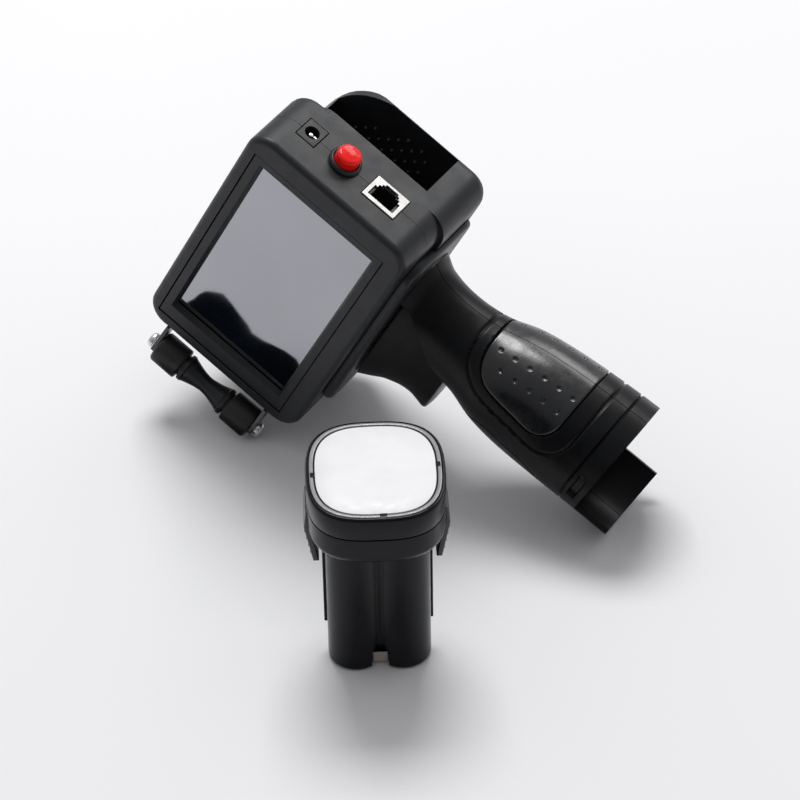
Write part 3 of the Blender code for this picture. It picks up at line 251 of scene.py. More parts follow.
def screen_finish(name):
    """Dark display behind a glossy touch film that mirrors a good part of what is before it."""
    f = Finish(name, (0.36, 0.368, 0.392), 0.035, 1.0)
    f.colour_between(f.noise(14.0, 3.0, 0.5), (0.345, 0.353, 0.376), (0.375, 0.383, 0.408))
    f.rough_between(f.noise(38.0, 4.0, 0.6), 0.03, 0.07)
    f.bump(f.noise(6.0, 1.0, 0.4), 0.12, 0.12)
    return f.made


def sticker_paper(name, colour):
    """Matt card or paper with fibres and a slightly uneven lie."""
    f = Finish(name, colour, 0.42)
    dark = tuple(c * 0.95 for c in colour)
    f.colour_between(f.noise(85.0, 5.0, 0.6), dark, colour)
    f.rough_between(f.noise(300.0, 4.0, 0.6), 0.36, 0.5)
    f.bump(f.noise(1100.0, 3.0, 0.6), 0.012, 0.4)
    f.bump(f.noise(30.0, 2.0, 0.5), 0.06, 0.3)
    return f.made


def gloss_plastic(name, colour, rough, gloss=0.5):
    """Polished plastic under a thin clear skin."""
    f = Finish(name, colour, rough, gloss=gloss)
    dark = tuple(c * 0.82 for c in colour)
    f.colour_between(f.noise(120.0, 4.0, 0.6), dark, colour)
    f.rough_between(f.noise(420.0, 4.0, 0.6), rough - 0.05, rough + 0.1)
    f.bump(f.noise(60.0, 2.0, 0.5), 0.04, 0.25)
    f.shader.inputs["Coat Weight"].default_value = 0.4
    f.shader.inputs["Coat Roughness"].default_value = 0.08
    return f.made


def circuit_board(name):
    """Green lacquered board, mottled by what lies under the lacquer."""
    f = Finish(name, (0.015, 0.09, 0.035), 0.45)
    f.colour_between(f.noise(420.0, 2.0, 0.4), (0.012, 0.07, 0.03), (0.03, 0.16, 0.06))
    f.rough_between(f.noise(600.0, 2.0), 0.35, 0.55)
    f.bump(f.noise(700.0, 2.0), 0.03, 0.4)
    return f.made


# name, colour, roughness, then what the finish itself adds
LOOK = {
    "shell": moulded_plastic("black_moulded_shell", (0.011, 0.0118, 0.0135), 0.42, gloss=0.38),
    "grip": moulded_plastic("black_moulded_grip", (0.0024, 0.0027, 0.0034), 0.34, 0.018, 1700.0,
                            0.16),
    "battery": moulded_plastic("black_battery_case", (0.0024, 0.0028, 0.004), 0.22, 0.006, 1900.0,
                               0.2),
    # light grey for the domes on the bay dots' tips: a painted highlight, not the plastic's own
    # colour
    "dot": moulded_plastic("bay_dot_tips_painted_highlight", (0.07, 0.07, 0.075), 0.3, 0.005),
    "pad": soft_rubber("palm_pad_rubber", (0.0045, 0.005, 0.006), 0.25, 0.62),
    "wheel": soft_rubber("roller_rubber", (0.009, 0.009, 0.009), 0.48),
    "insert": moulded_plastic("black_socket_insert", (0.008, 0.008, 0.0085), 0.42, 0.01),
    "clip": moulded_plastic("black_rim_clip", (0.0025, 0.0025, 0.0028), 0.5, 0.01, 1500.0, 0.1),
    # the latches are the battery case's black plastic made lighter: a painted highlight on their
    # ribs
    "latch": moulded_plastic("latch_plastic_painted_lighter", (0.009, 0.0095, 0.011), 0.3, 0.012, 1700.0,
                             0.6),
    "screen": screen_finish("touch_screen_film"),
    "steel": metal("bright_screw_steel", (0.72, 0.72, 0.73), 0.26),
    "bracket": metal("dark_bracket_steel", (0.11, 0.11, 0.115), 0.3),
    "shield": metal("plated_socket_shield", (0.48, 0.47, 0.45), 0.4, (1.0, 10.0, 1.0)),
    "brass": metal("gold_plated_contact", (0.86, 0.66, 0.34), 0.28),
    "contact": sticker_paper("beige_contact_carrier", (0.55, 0.48, 0.42)),
    "red": gloss_plastic("red_button_gloss", (0.98, 0.012, 0.009), 0.26, 0.08),
    "sticker": sticker_paper("plain_white_sticker", (0.8, 0.8, 0.81)),
    "rim": gloss_plastic("grey_rim_plastic", (0.27, 0.27, 0.28), 0.3),
    "cell": gloss_plastic("blue_cell_wrap", (0.05, 0.16, 0.4), 0.32),
    "lcd": gloss_plastic("grey_display_module", (0.12, 0.13, 0.14), 0.35),
    "board": circuit_board("green_circuit_board"),
}


# ---------------------------------------------------------------- making pieces
def into_object(name, bm, axes, look, sharp):
    """Makes a bmesh in millimetres an object whose place is in its mesh."""
    bmesh.ops.transform(bm, matrix=axes, verts=bm.verts[:])
    bmesh.ops.recalc_face_normals(bm, faces=bm.faces[:])
    mesh = bpy.data.meshes.new(name)
    bm.to_mesh(mesh)
    bm.free()
    for face in mesh.polygons:
        face.use_smooth = True
    mesh.set_sharp_from_angle(angle=math.radians(sharp))
    mesh.materials.append(look)
    made = bpy.data.objects.new(name, mesh)
    bpy.context.scene.collection.objects.link(made)
    return made


def piece(name, bm, look, stands_for=(), body="printer", axes=None, sharp=35.0, soften=0.0):
    """A finished piece that rides on a body and stands for the named CAD nodes."""
    made = into_object(name, bm, axes or PRINTER, LOOK[look], sharp)
    if soften:
        ease_edges(made, soften)
    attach(made, body)
    if stands_for:
        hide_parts(*stands_for)
    return made


def ease_edges(obj, width):
    """Rounds the sharp edges by `width` millimetres and keeps the flats flat."""
    mod = obj.modifiers.new("eased_edges", "BEVEL")
    mod.width = width * MM
    mod.segments = 2
    mod.limit_method = "ANGLE"
    mod.angle_limit = math.radians(38)
    mod.miter_outer = "MITER_ARC"
    mod.use_clamp_overlap = True
    flat = obj.modifiers.new("flat_faces", "WEIGHTED_NORMAL")
    flat.keep_sharp = False
    flat.weight = 80


def refined(node, look, body="printer", soften=0.25):
    """A cleaned copy of a CAD node with eased edges, standing for it."""
    bm = bmesh.new()
    bm.from_mesh(NODES[node].data)
    bmesh.ops.remove_doubles(bm, verts=bm.verts[:], dist=1e-6)
    bmesh.ops.dissolve_limit(bm, angle_limit=math.radians(0.6), verts=bm.verts[:],
                             edges=bm.edges[:])
    bmesh.ops.triangulate(bm, faces=[f for f in bm.faces if len(f.verts) > 4])
    return piece(node + "_finished", bm, look, (node,), body, Matrix.Identity(4), 35.0, soften)


def loft(rows, count, at, caps=(True, True)):
    """Skin through rings of `count` points; at(row, turn) gives each point's place."""
    bm = bmesh.new()
    layer = bm.verts.layers.float.new("turn")
    ring = bmesh.ops.create_circle(bm, segments=count, radius=1.0, cap_ends=False)["verts"]
    for v in ring:
        v[layer] = (math.atan2(v.co.y, v.co.x) / (2 * math.pi)) % 1.0
        v.co = at(rows[0], v[layer])
    edges = bm.edges[:]
    ends = [edges]
    for row in rows[1:]:
        grown = bmesh.ops.extrude_edge_only(bm, edges=edges)["geom"]
        fresh = {g for g in grown if isinstance(g, bmesh.types.BMVert)}
        for v in fresh:
            v.co = at(row, v[layer])
        edges = [g for g in grown if isinstance(g, bmesh.types.BMEdge) and g.verts[0] in fresh
                 and g.verts[1] in fresh]
    ends.append(edges)
    for wanted, rim in zip(caps, ends):
        if wanted:
            bmesh.ops.contextual_create(bm, geom=rim)
    return bm


def shaped(outline, rows, count=240, caps=(True, True)):
    """Loft of an outline through rows of (inset, height)."""
    return loft(rows, count, lambda row, turn: Vector((*outline(turn, row[0]), row[1])), caps)


def closed_ring(outline, section, count=240):
    """Ring along an outline; its section is rows of (inset, height) that end at the first."""
    ring = shaped(outline, section, count, (False, False))
    bmesh.ops.remove_doubles(ring, verts=ring.verts[:], dist=1e-4)
    return ring


def lathe(profile, centre, axis="X", closed=True):
    """Turns a profile of (along, radius) about an axis through `centre`."""
    bm = bmesh.new()
    chain = [bm.verts.new((along, radius, 0)) for along, radius in profile]
    edges = [bm.edges.new(pair) for pair in zip(chain, chain[1:])]
    if closed:
        edges.append(bm.edges.new((chain[-1], chain[0])))
    bmesh.ops.spin(bm, geom=chain + edges, cent=(0, 0, 0), axis=(1, 0, 0), dvec=(0, 0, 0),
                   angle=2 * math.pi, steps=96, use_merge=True, use_duplicate=False)
    bmesh.ops.remove_doubles(bm, verts=bm.verts[:], dist=1e-5)
    if axis == "Y":
        quarter = Matrix.Rotation(math.pi / 2, 3, "Z")
        bmesh.ops.rotate(bm, cent=(0, 0, 0), matrix=quarter, verts=bm.verts[:])
    bmesh.ops.translate(bm, vec=centre, verts=bm.verts[:])
    return bm


def block(x0, x1, y0, y1, z0, z1, edge=0.0):
    """Box with its edges rounded by `edge`."""
    bm = bmesh.new()
    verts = bmesh.ops.create_cube(bm, size=1.0)["verts"]
    bmesh.ops.scale(bm, vec=(x1 - x0, y1 - y0, z1 - z0), verts=verts)
    bmesh.ops.translate(bm, vec=((x0 + x1) / 2, (y0 + y1) / 2, (z0 + z1) / 2), verts=verts)
    if edge:
        bmesh.ops.bevel(bm, geom=bm.edges[:], offset=edge, offset_type="OFFSET", segments=2,
                        profile=0.5, affect="EDGES", material=-1, clamp_overlap=True)
    return bm


def joined(*parts):
    """One bmesh from several."""
    whole = bmesh.new()
    for part in parts:
        mesh = bpy.data.meshes.new("part")
        part.to_mesh(mesh)
        part.free()
        whole.from_mesh(mesh)
        bpy.data.meshes.remove(mesh)
    return whole


def cut_out(bm, tools):
    """Cuts solids out of a bmesh and returns the result as a bmesh."""
    holder = []
    for part in (bm, *tools):
        mesh = bpy.data.meshes.new("shaping")
        bmesh.ops.recalc_face_normals(part, faces=part.faces[:])
        part.to_mesh(mesh)
        part.free()
        obj = bpy.data.objects.new("shaping", mesh)
        bpy.context.scene.collection.objects.link(obj)
        holder.append(obj)
    target = holder[0]
    for tool in holder[1:]:
        mod = target.modifiers.new("shape", "BOOLEAN")
        mod.operation = "DIFFERENCE"
        mod.solver = "EXACT"
        mod.object = tool
    graph = bpy.context.evaluated_depsgraph_get()
    result = bmesh.new()
    result.from_mesh(target.evaluated_get(graph).to_mesh())
    for obj in holder:
        mesh = obj.data
        bpy.data.objects.remove(obj)
        bpy.data.meshes.remove(mesh)
    return result


# ---------------------------------------------------------------- grip
def smooth_rows(rows, x):
    """Values between rows, on a smooth curve through them."""
    k = 0
    while k < len(rows) - 2 and x > rows[k + 1][0]:
        k += 1
    a, b = rows[k], rows[k + 1]
    before = rows[k - 1] if k else a
    after = rows[k + 2] if k + 2 < len(rows) else b
    t = (x - a[0]) / (b[0] - a[0])
    out = []
    for i in range(1, len(a)):
        m0 = (b[i] - before[i]) / (b[0] - before[0]) * (b[0] - a[0])
        m1 = (after[i] - a[i]) / (after[0] - a[0]) * (b[0] - a[0])
        out.append((2 * t ** 3 - 3 * t ** 2 + 1) * a[i] + (t ** 3 - 2 * t ** 2 + t) * m0
                   + (3 * t ** 2 - 2 * t ** 3) * b[i] + (t ** 3 - t ** 2) * m1)
    return out


def on_grip(x, angle, side, off=0.0):
    """Point of the grip's skin; angle 0 is the front and a half turn is the back."""
    middle, deep, wide = smooth_rows(STATIONS, x)
    z = max(GAP / 2, (wide + off) * math.sin(angle))
    return Vector((x, middle + (deep + off) * math.cos(angle), GRIP_Z + side * z))


def cheek_angle(x):
    """Angle round the grip where the trigger opening ends."""
    for (x0, y0), (x1, y1) in zip(CHEEK, CHEEK[1:]):
        if x <= x1:
            break
    y = y0 + (y1 - y0) * (x - x0) / (x1 - x0)
    middle, deep, _ = smooth_rows(STATIONS, x)
    return math.acos(max(-1.0, min(1.0, (y - middle) / deep)))


def off_panel(x, y, panel, to_back=True):
    """Distance of a side view point from a round cornered panel, negative inside it."""
    x0, x1, edge, r = panel
    far = -30.0 if to_back else 130.0
    cy, hy = (edge + far) / 2, abs(edge - far) / 2
    qx = abs(x - (x0 + x1) / 2) - (x1 - x0) / 2 + r
    qy = abs(y - cy) - hy + r
    return math.hypot(max(qx, 0.0), max(qy, 0.0)) + min(max(qx, qy), 0.0) - r


def step_down(value, width):
    """1 below zero, 0 above `width`, smooth between."""
    t = max(0.0, min(1.0, value / width))
    return 1 - t * t * (3 - 2 * t)


def valley(value, half):
    """1 on a groove's middle line, falling to 0 at `half` on either side."""
    t = value / half
    return (1 - t * t) ** 0.6 if abs(t) < 1 else 0.0


def grip_relief(x, angle):
    """How deep the grip's skin is cut at a place."""
    middle, deep, _ = smooth_rows(STATIONS, x)
    y = middle + deep * math.cos(angle)
    panel = off_panel(x, y, PALM_PANEL) - 0.25
    loop = off_panel(x, y, PALM_LOOP) - 0.4
    strip = off_panel(x, y, FINGER_STRIP, to_back=False)
    line = COLLAR_LINE + 2.7 * step_down(angle, 1.6)
    catch = max(abs(x - CATCH[0]) - CATCH[2], abs(y - CATCH[1]) - CATCH[3])
    return max(PANEL_DEPTH * step_down(panel, 0.4), LOOP_DEPTH * valley(loop, 0.6),
               STRIP_DEPTH * valley(strip, 0.5), COLLAR_DEPTH * valley(x - line, 0.55),
               CATCH_DEPTH * step_down(catch + 0.3, 0.4))


def spaced(marks):
    """Numbers through marks of (end, count), starting at the first mark's end."""
    values = [marks[0][0]]
    for end, count in marks[1:]:
        start = values[-1]
        values += [start + (end - start) * (i + 1) / count for i in range(count)]
    return values


def grip_shell(side):
    """One moulded half of the grip, from a grid bent round the handle and given its wall."""
    opening = cheek_angle(OPENING_END)
    places = spaced(((GRIP_START, 0), (OPENING_END, 46), (172.0, 118), (182.0, 32), (RIM_X, 8),
                     (LIP_X, 14)))
    opening_k, lip_k = 30, 36
    angles = spaced(((0.0, 0), (opening, opening_k), (LIP_ANGLE, lip_k - opening_k),
                     (math.pi, 104)))
    first_lip = places.index(RIM_X)
    opening_at = min(range(len(places)), key=lambda i: abs(places[i] - OPENING_END))
    wide, high = len(places) - 1, len(angles) - 1
    bm = bmesh.new()
    along = bm.verts.layers.int.new("along")
    around = bm.verts.layers.int.new("around")
    bmesh.ops.create_grid(bm, x_segments=wide, y_segments=high, size=1.0)
    for v in bm.verts:
        v[along] = round((v.co.x + 1) / 2 * wide)
        v[around] = round((v.co.y + 1) / 2 * high)
    extra = []
    for face in bm.faces:
        i = min(v[along] for v in face.verts)
        k = min(v[around] for v in face.verts)
        if (i < opening_at and k < opening_k) or (i >= first_lip and k >= lip_k):
            extra.append(face)
    bmesh.ops.delete(bm, geom=extra, context="FACES")

    def angle_at(i, k):
        if i >= opening_at or k < opening_k:
            return angles[k]
        start = cheek_angle(places[i])
        return start + (math.pi - start) * (angles[k] - opening) / (math.pi - opening)

    for v in bm.verts:
        x, angle = places[v[along]], angle_at(v[along], v[around])
        v.co = on_grip(x, angle, side, -grip_relief(x, angle))
    inner = bmesh.ops.extrude_face_region(bm, geom=bm.faces[:])["geom"]
    for v in inner:
        if isinstance(v, bmesh.types.BMVert):
            v.co = on_grip(places[v[along]], angle_at(v[along], v[around]), side, -GRIP_WALL)
    return bm


def palm_pad(side):
    """Rubber palm panel with pressed dimples, from a grid bent onto the grip."""
    x0, x1, edge, r = PALM_PANEL
    wide, high = 104, 96
    bm = bmesh.new()
    along = bm.verts.layers.float.new("along")
    around = bm.verts.layers.float.new("around")
    bmesh.ops.create_grid(bm, x_segments=wide, y_segments=high, size=1.0)
    for v in bm.verts:
        u = (v.co.x + 1) / 2
        ends = (1 - math.cos(math.pi * u)) / 2
        x = x0 + (x1 - x0) * (0.45 * ends + 0.55 * u)
        reach = edge
        inset = min(x - x0, x1 - x)
        if inset < r:
            reach = edge - r + math.sqrt(max(0.0, r * r - (r - inset) ** 2))
        middle, deep, _ = smooth_rows(STATIONS, x)
        start = math.acos(max(-1.0, min(1.0, (reach - middle) / deep)))
        v[along] = x
        v[around] = start + (math.pi - start) * (v.co.y + 1) / 2
    spots = [(first + i * DIMPLE_PITCH, math.radians(angle)) for first, count, angle in DIMPLES
             for i in range(count)]
    centres = [on_grip(x, angle, side) for x, angle in spots]
    for v in bm.verts:
        x, angle = v[along], v[around]
        at = on_grip(x, angle, side, PAD_PROUD)
        away = min((at - centre).length for centre in centres)
        press = DIMPLE_DEPTH * max(0.0, 1 - (away / DIMPLE_R) ** 2)
        middle, deep, _ = smooth_rows(STATIONS, x)
        inside = -off_panel(x, middle + deep * math.cos(angle), PALM_PANEL)
        fall = PAD_EDGE_FALL * max(0.0, 1 - inside / PAD_EDGE) ** 2
        v.co = on_grip(x, angle, side, PAD_PROUD - press - fall)
    under = bmesh.ops.extrude_face_region(bm, geom=bm.faces[:])["geom"]
    for v in under:
        if isinstance(v, bmesh.types.BMVert):
            v.co = on_grip(v[along], v[around], side, -PAD_UNDER)
    return bm


def trigger_ring(x, turn):
    """Point on the trigger's outline at a place along the handle."""
    back, front, half = smooth_rows(TRIGGER, x)
    a = 2 * math.pi * turn
    power = 2 / 2.4 if math.cos(a) > 0 else 2 / 3.0
    forward = math.copysign(abs(math.cos(a)) ** power, math.cos(a))
    aside = math.copysign(abs(math.sin(a)) ** power, math.sin(a))
    return Vector((x, (back + front) / 2 + (front - back) / 2 * forward, GRIP_Z + half * aside))


def grip_pieces():
    """Both halves, their palm pads, the trigger, and what the grip holds inside."""
    for side, hand in ((-1, "left"), (1, "right")):
        piece(f"grip_moulding_{hand}", grip_shell(side), "grip", (f"grip_{hand}",), sharp=50.0)
        piece(f"palm_pad_{hand}", palm_pad(side), "pad", (f"pad_{hand}",), sharp=50.0)
    rows = spaced(((TRIGGER[0][0], 0), (TRIGGER[-1][0], 44)))
    trigger = loft(rows, 96, trigger_ring)
    piece("finger_trigger", trigger, "grip", ("trigger",), "trigger", sharp=50.0, soften=0.3)
    refined("grip_flange", "shell", soften=0.5)
    refined("trigger_switch", "insert")
    refined("terminal_block", "insert")
    for i in range(3):
        refined(f"terminal_{i + 1}", "brass", soften=0.15)


# ---------------------------------------------------------------- head
def head_pieces():
    """Shells, screen, printing end and what the head holds inside."""
    for node, look, soften in (("bezel_shell", "shell", 0.3), ("rear_shell", "shell", 0.3),
                               ("side_cover", "shell", 0.3), ("screen_frame", "shell", 0.3),
                               ("screen_glass", "screen", 0.1), ("lcd_module", "lcd", 0.25),
                               ("main_board", "board", 0.1), ("contact_block", "insert", 0.25),
                               ("contact_pads", "brass", 0.1), ("print_nose", "shell", 0.35),
                               ("nose_plate", "steel", 0.2), ("print_sensor", "insert", 0.1)):
        refined(node, look, soften=soften)
    for i in range(4):
        refined(f"cover_screw_{i + 1}", "steel", soften=0.12)
    seam_strip()


def head_outline(turn, inset):
    """Point on the head's round cornered outline, a share `turn` of the way round it."""
    wide, high, r = HEAD_X - 2 * inset, HEAD_Y - 2 * inset, HEAD_CORNER - inset
    sides = (wide - 2 * r, high - 2 * r)
    arc = math.pi * r / 2
    along = turn * 2 * (sum(sides) + 2 * arc)
    corners = ((HEAD_X - inset - r, inset + r), (HEAD_X - inset - r, HEAD_Y - inset - r),
               (inset + r, HEAD_Y - inset - r), (inset + r, inset + r))
    for k in range(4):
        out = math.radians(90 * k - 90)
        if along <= sides[k % 2]:
            back = sides[k % 2] - along
            x, y = corners[k]
            return (x + r * math.cos(out) + back * math.sin(out),
                    y + r * math.sin(out) - back * math.cos(out))
        along -= sides[k % 2]
        if along <= arc:
            out += along / r
            return (corners[k][0] + r * math.cos(out), corners[k][1] + r * math.sin(out))
        along -= arc
    return (inset + r, inset)


def seam_strip():
    """Thin strip of the same plastic that closes the parting line, just under the skin."""
    low, high = SEAM_Z - GAP / 2, SEAM_Z + GAP / 2
    section = [(0.1, low), (0.1, high), (1.2, high), (1.2, low), (0.1, low)]
    strip = closed_ring(head_outline, section, 480)
    gates = [block(SUPPLY_X - 5, SUPPLY_X + 5, -1, 2, 12, 24),
             block(BUTTON_X - 7.4, BUTTON_X + 7.4, -1, 2, 12, 24),
             block(SOCKET_X - 8.4, SOCKET_X + 8.4, -1, 2, 10, 25),
             block(10.0, 68.0, HEAD_Y - 2, HEAD_Y + 1, 12, 24)]
    piece("parting_line_strip", cut_out(strip, gates), "shell")


def power_button():
    """Domed cap in a rounded collar, turned about the button's axis."""
    crown, edge = BUTTON_R - 1.7, 1.7
    cap = [(-6.8 + 0.45 * (r / crown) ** 2, r) for r in (0.0, 0.8, 1.6, 2.5, crown)]
    for degrees in range(78, -1, -13):
        a = math.radians(degrees)
        cap.append((-6.35 + 1.75 * (1 - math.sin(a)), crown + edge * math.cos(a)))
    cap += [(4.1, BUTTON_R), (4.1, 0.0)]
    centre = (BUTTON_X, 0, BUTTON_Z)
    piece("power_button_cap", lathe(cap, centre, "Y", closed=False), "red", ("power_button",),
          "power_button", sharp=60.0)
    collar = [(-0.3, 6.8), (-1.0, 6.8), (-1.3, 6.72), (-2.0, 6.15), (-2.17, 5.95), (-2.2, 5.75),
              (-2.1, 5.55), (-1.8, 5.42), (6.9, 5.42), (6.9, 5.7), (-0.3, 5.7)]
    piece("button_collar_ring", lathe(collar, centre, "Y"), "shell", ("button_collar",), sharp=40.0)


def network_socket():
    """Plated shield with a stepped mouth, its dark insert and a row of contact wires."""
    x, z = SOCKET_X, SOCKET_Z
    steps = ((6.2, -4.5, 1.2), (5.0, 0.0, 2.8), (4.0, 0.0, 4.1), (3.0, 0.0, 5.2))
    mouth = [block(x - half, x + half, -2, 0.3, z + low, z + high) for half, low, high in steps]
    shield = block(x - 8, x + 8, -0.5, 18, z - 6.5, z + 6.5, 0.25)
    hollow = block(x - 6.5, x + 6.5, 0.1, 17.2, z - 5.0, z + 5.3)
    opened = cut_out(shield, [hollow, *mouth])
    piece("network_socket_shield", opened, "shield", ("rj45_shield",), soften=0.1)
    refined("rj45_insert", "insert", soften=0.12)
    wires = []
    for i in range(WIRES):
        middle = x + (i - (WIRES - 1) / 2) * WIRE_PITCH
        wires.append(block(middle - 0.22, middle + 0.22, 5.2, 12.4, z - 3.1, z - 2.45, 0.1))
    piece("socket_contact_row", joined(*wires), "brass", ("rj45_contacts",))


def supply_socket():
    """Round supply jack with its pin and the flat spring beside it."""
    refined("dc_jack", "shell", soften=0.2)
    refined("dc_pin", "steel", soften=0.1)
    spring = block(SUPPLY_X + 1.3, SUPPLY_X + 2.9, 0.9, 9.0, SUPPLY_Z - 0.5, SUPPLY_Z + 0.35, 0.1)
    piece("supply_spring", spring, "steel")


def bay_dots():
    """Rows of pressed dots on the cover's inner face, where a hand steadies the cartridge; their
    light grey tips are a painted highlight.
    """
    domes = []
    for row, count in enumerate(DOT_ROWS):
        for i in range(count):
            dome = bmesh.new()
            bmesh.ops.create_uvsphere(dome, u_segments=16, v_segments=8, radius=DOT_R)
            x = DOT_FROM[0] - i * DOT_PITCH - (row % 2) * DOT_PITCH / 2
            y = DOT_FROM[1] - row * DOT_PITCH / 2
            bmesh.ops.translate(dome, vec=(x, y, COVER_INSIDE - DOT_OUT), verts=dome.verts[:])
            domes.append(dome)
    piece("cover_dot_tips_painted_highlight", joined(*domes), "dot", sharp=60.0)


def roller_pieces():
    """Two rubber wheels on a waisted hub, with axle, brackets and end screws."""
    r, length = ROLL_R, ROLL_X1 - ROLL_X0
    wheel = [(0.0, r - 1.0), (0.25, r - 0.5), (0.8, r - 0.1), (1.4, r), (WHEEL_L - 3.5, r),
             (WHEEL_L - 3.2, r - 0.2), (WHEEL_L - 3.0, r - 0.6), (WHEEL_L - 2.9, r - 2.1),
             (WHEEL_L - 2.1, r - 2.1), (WHEEL_L - 1.9, r - 1.1), (WHEEL_L - 1.5, r - 0.9),
             (WHEEL_L - 0.3, r - 0.9), (WHEEL_L, r - 1.2), (WHEEL_L, BORE), (0.0, BORE)]
    mirrored = [(length - x, radius) for x, radius in wheel]
    centre = (ROLL_X0, ROLL_Y, ROLL_Z)
    for end, profile in (("upper", wheel), ("lower", mirrored)):
        piece(f"roller_wheel_{end}", lathe(profile, centre), "wheel", (f"wheel_{end}",), "roller",
              sharp=40.0)
    start, between, steps = WHEEL_L + GAP, length - 2 * WHEEL_L - 2 * GAP, 28
    hub = []
    for i in range(steps + 1):
        t = i / steps
        hub.append((start + t * between, WAIST_R + (r - 1.3 - WAIST_R) * abs(2 * t - 1) ** 1.6))
    hub += [(start + between, BORE), (start, BORE)]
    piece("roller_waist", lathe(hub, centre), "shell", ("roller_hub",), "roller", sharp=40.0)
    refined("roller_axle", "steel", soften=0.2)
    for end in ("upper", "lower"):
        refined(f"bracket_{end}", "bracket", soften=0.2)
        refined(f"axle_screw_{end}", "steel", soften=0.15)


# ---------------------------------------------------------------- battery
def lobed(turn, inset):
    """Outline of three round lobes that flow into each other."""
    a = 2 * math.pi * turn
    total = 0.0
    for lobe in (90, 210, 330):
        swing = a - math.radians(lobe)
        room = LOBE_R ** 2 - (LOBE_D * math.sin(swing)) ** 2
        if room > 0:
            total += max(0.0, LOBE_D * math.cos(swing) + math.sqrt(room)) ** 6
    r = total ** (1 / 6) - inset
    return r * math.cos(a), r * math.sin(a)


def cap_outline(turn, inset):
    """Outline of the cap, a square with round corners and bowed sides."""
    a = 2 * math.pi * turn
    x = (CAP_X / 2 - inset) * math.copysign(abs(math.cos(a)) ** (2 / CAP_POWER), math.cos(a))
    y = (CAP_Y / 2 - inset) * math.copysign(abs(math.sin(a)) ** (2 / CAP_POWER), math.sin(a))
    return x, y


def on_battery(name, bm, look, stands_for=(), soften=0.0):
    """A piece in the battery's own axes that rides on the battery."""
    piece(name, bm, look, stands_for, "battery", BATTERY, 40.0, soften)


def battery_body():
    """Three lobed case with guide rails, and the contact in its notch."""
    wall = [(2.2, 0.0), (1.2, 0.12), (0.5, 0.45), (0.12, 1.0), (0.0, 1.7), (0.0, BODY_H + 4),
            (1.2, BODY_H + 4), (1.2, 1.4)]
    front = -LOBE_R - 0.5
    notch = block(-3.2, 3.2, -LOBE_D - LOBE_R, front + 4, -1, NOTCH_H)
    case = cut_out(shaped(lobed, wall, 288), [notch])
    rails = []
    for side in (-1, 1):
        inner, outer = sorted((side * RAIL_OUT, side * (LOBE_D + LOBE_R / 2)))
        rails.append(block(inner, outer, 0, 3, RAIL_FROM, BODY_H - 4, 0.4))
    on_battery("battery_case", joined(case, *rails), "battery", ("battery_body",), 0.2)
    carrier = block(-2.9, 2.9, front - 0.3, front + 0.7, 0.5, NOTCH_H + 0.4, 0.15)
    on_battery("contact_carrier", carrier, "contact", ("battery_contact",))
    for i in range(3):
        refined(f"cell_{i + 1}", "cell", "battery", 0.3)
    refined("battery_collar", "battery", "battery", 0.3)


def battery_top():
    """Cap, its rim with three clips, and the bare sticker within the rim."""
    seam = BODY_H + COLLAR_H
    top = seam + CAP_H
    cap = [(0.5, seam + 0.15), (0.15, seam + 0.3), (0.0, seam + 0.7), (0.0, top - 1.5),
           (0.15, top - 0.7), (0.5, top - 0.2), (0.9, top), (1.1, top), (1.25, top - 0.2),
           (1.3, top - 0.8)]
    on_battery("battery_cap_moulding", shaped(cap_outline, cap), "battery", ("battery_cap",))
    rim = [(1.55, top - 0.5), (1.55, top + 0.05), (1.75, top + 0.2), (2.7, top + 0.2),
           (2.95, top + 0.05), (3.0, top - 0.5), (1.55, top - 0.5)]
    on_battery("cap_rim_ring", closed_ring(cap_outline, rim), "rim", ("cap_rim",))
    for turn in CLIP_TURNS:
        clip = block(-1.3, 1.3, -0.7, 1.0, top - 0.3, top + 0.32, 0.1)
        outward = Matrix.Rotation(2 * math.pi * turn - math.pi / 2, 3, "Z")
        bmesh.ops.rotate(clip, matrix=outward, verts=clip.verts[:])
        bmesh.ops.translate(clip, vec=(*cap_outline(turn, CLIP_IN), 0), verts=clip.verts[:])
        on_battery(f"rim_clip_{round(turn * 100)}", clip, "clip")
    label = [(3.65, top - 0.5), (3.65, top - 0.02), (3.73, top + 0.04), (12.0, top + 0.04)]
    on_battery("plain_sticker", shaped(cap_outline, label), "sticker", ("battery_label",))
    for hand in ("left", "right"):
        refined(f"latch_{hand}", "latch", f"latch_{hand}", 0.3)


# ---------------------------------------------------------------- studio
def plain_stage_look(name, colour, rough=0.9):
    """Matt paint without gloss for the floor and the card."""
    f = Finish(name, colour, rough, gloss=0.0)
    dark = tuple(c * 0.985 for c in colour)
    f.colour_between(f.noise(3.0, 2.0, 0.4), dark, colour)
    return f.made


def softbox(name, at, aim, wide, high, power, sheen_only=False):
    """Rectangular lamp aimed at a place; sheen_only leaves it out of matt surfaces."""
    light = bpy.data.lights.new(name, "AREA")
    light.shape = "RECTANGLE"
    light.size = wide
    light.size_y = high
    light.energy = power
    made = bpy.data.objects.new(name, light)
    bpy.context.scene.collection.objects.link(made)
    made.location = at
    made.visible_diffuse = not sheen_only
    made.rotation_euler = (Vector(aim) - Vector(at)).to_track_quat("-Z", "Y").to_euler()


def room_light():
    """A pale room that is brighter on one side."""
    world = bpy.data.worlds.new("studio_room")
    bpy.context.scene.world = world
    world.use_nodes = True
    tree = world.node_tree
    room = tree.nodes["Background"]
    room.inputs["Color"].default_value = (1.0, 1.0, 1.02, 1.0)
    way = tree.nodes.new("ShaderNodeTexCoord")
    toward = tree.nodes.new("ShaderNodeVectorMath")
    toward.operation = "DOT_PRODUCT"
    toward.inputs[1].default_value = BRIGHT_SIDE
    level = tree.nodes.new("ShaderNodeMapRange")
    set_range(level, (-0.7, 0.7), ROOM)
    tree.links.new(way.outputs["Generated"], toward.inputs[0])
    tree.links.new(toward.outputs["Value"], level.inputs["Value"])
    tree.links.new(level.outputs["Result"], room.inputs["Strength"])


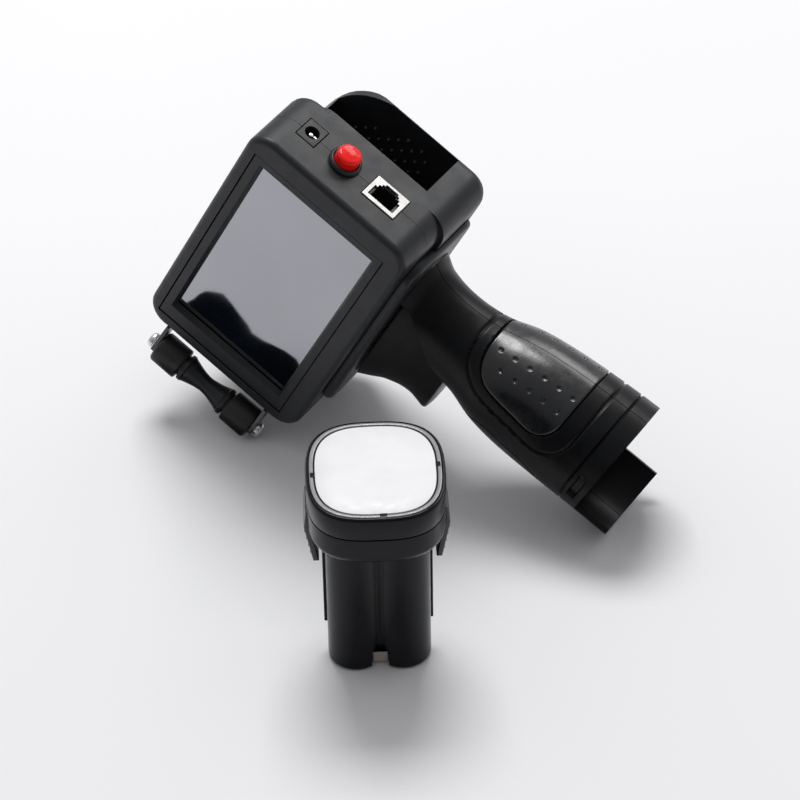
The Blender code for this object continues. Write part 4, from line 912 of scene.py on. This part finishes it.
def studio():
    """Floor, room light and two lamps."""
    bm = bmesh.new()
    bmesh.ops.create_grid(bm, x_segments=1, y_segments=1, size=6.0)
    paint = plain_stage_look("floor_white", (0.85, 0.85, 0.866))
    floor = into_object("floor", bm, Matrix.Identity(4), paint, 30.0)
    floor.location.z = -0.0002
    room_light()
    softbox("key_softbox", (-0.464, 0.668, 1.827), (0.0, 0.0, 0.03), 0.9, 0.7, 27.4)
    softbox("back_sheen_panel", (0.22, 1.25, 1.15), (0.0, 0.0, 0.08), 0.8, 0.6, 7.0, True)


def reflected_dark_card():
    """A dark card before the screen that only reflections see."""
    outline = ((-128.0, -22.0), (-131.5, -31.0), (-130.4, -34.0), (-130.1, -38.8), (-128.8, -41.7),
               (-125.4, -42.9), (-121.2, -43.7), (-114.7, -40.1), (-107.4, -35.4), (-100.6, -31.3),
               (-95.3, -27.1), (-89.0, -25.3), (-83.1, -24.7), (-76.5, -23.9), (-69.5, -21.7),
               (-62.2, -15.8), (-57.0, -4.0), (-54.0, 18.0), (-118.0, 18.0))
    bm = bmesh.new()
    bm.faces.new([bm.verts.new((x, y, 1.0)) for x, y in outline])
    look = plain_stage_look("card_black", (0.004, 0.006, 0.009), 1.0)
    card = into_object("reflected_card", bm, Matrix.Scale(MM, 4), look, 30.0)
    card.visible_camera = False
    card.visible_diffuse = False
    card.visible_shadow = False
    card.visible_transmission = False


def camera():
    """A long lens that looks down on the printer from the front right."""
    lens = bpy.data.cameras.new("camera")
    lens.sensor_width = 36.0
    lens.lens = LENS
    lens.clip_start = 0.05
    made = bpy.data.objects.new("camera", lens)
    bpy.context.scene.collection.objects.link(made)
    corner = PRINTER.translation
    place = (VIEW_FROM[0] + corner.x, VIEW_FROM[1] + corner.y, VIEW_FROM[2])
    rows = [(VIEW_RIGHT[i], VIEW_UP[i], VIEW_BACK[i], place[i]) for i in range(3)]
    made.matrix_world = Matrix([*rows, (0, 0, 0, 1)])
    bpy.context.scene.camera = made


def main():
    camera()
    head_pieces()
    power_button()
    supply_socket()
    network_socket()
    bay_dots()
    roller_pieces()
    grip_pieces()
    battery_body()
    battery_top()
    studio()
    reflected_dark_card()
    bpy.context.scene.view_settings.view_transform = "Standard"
    bpy.context.view_layer.update()


main()
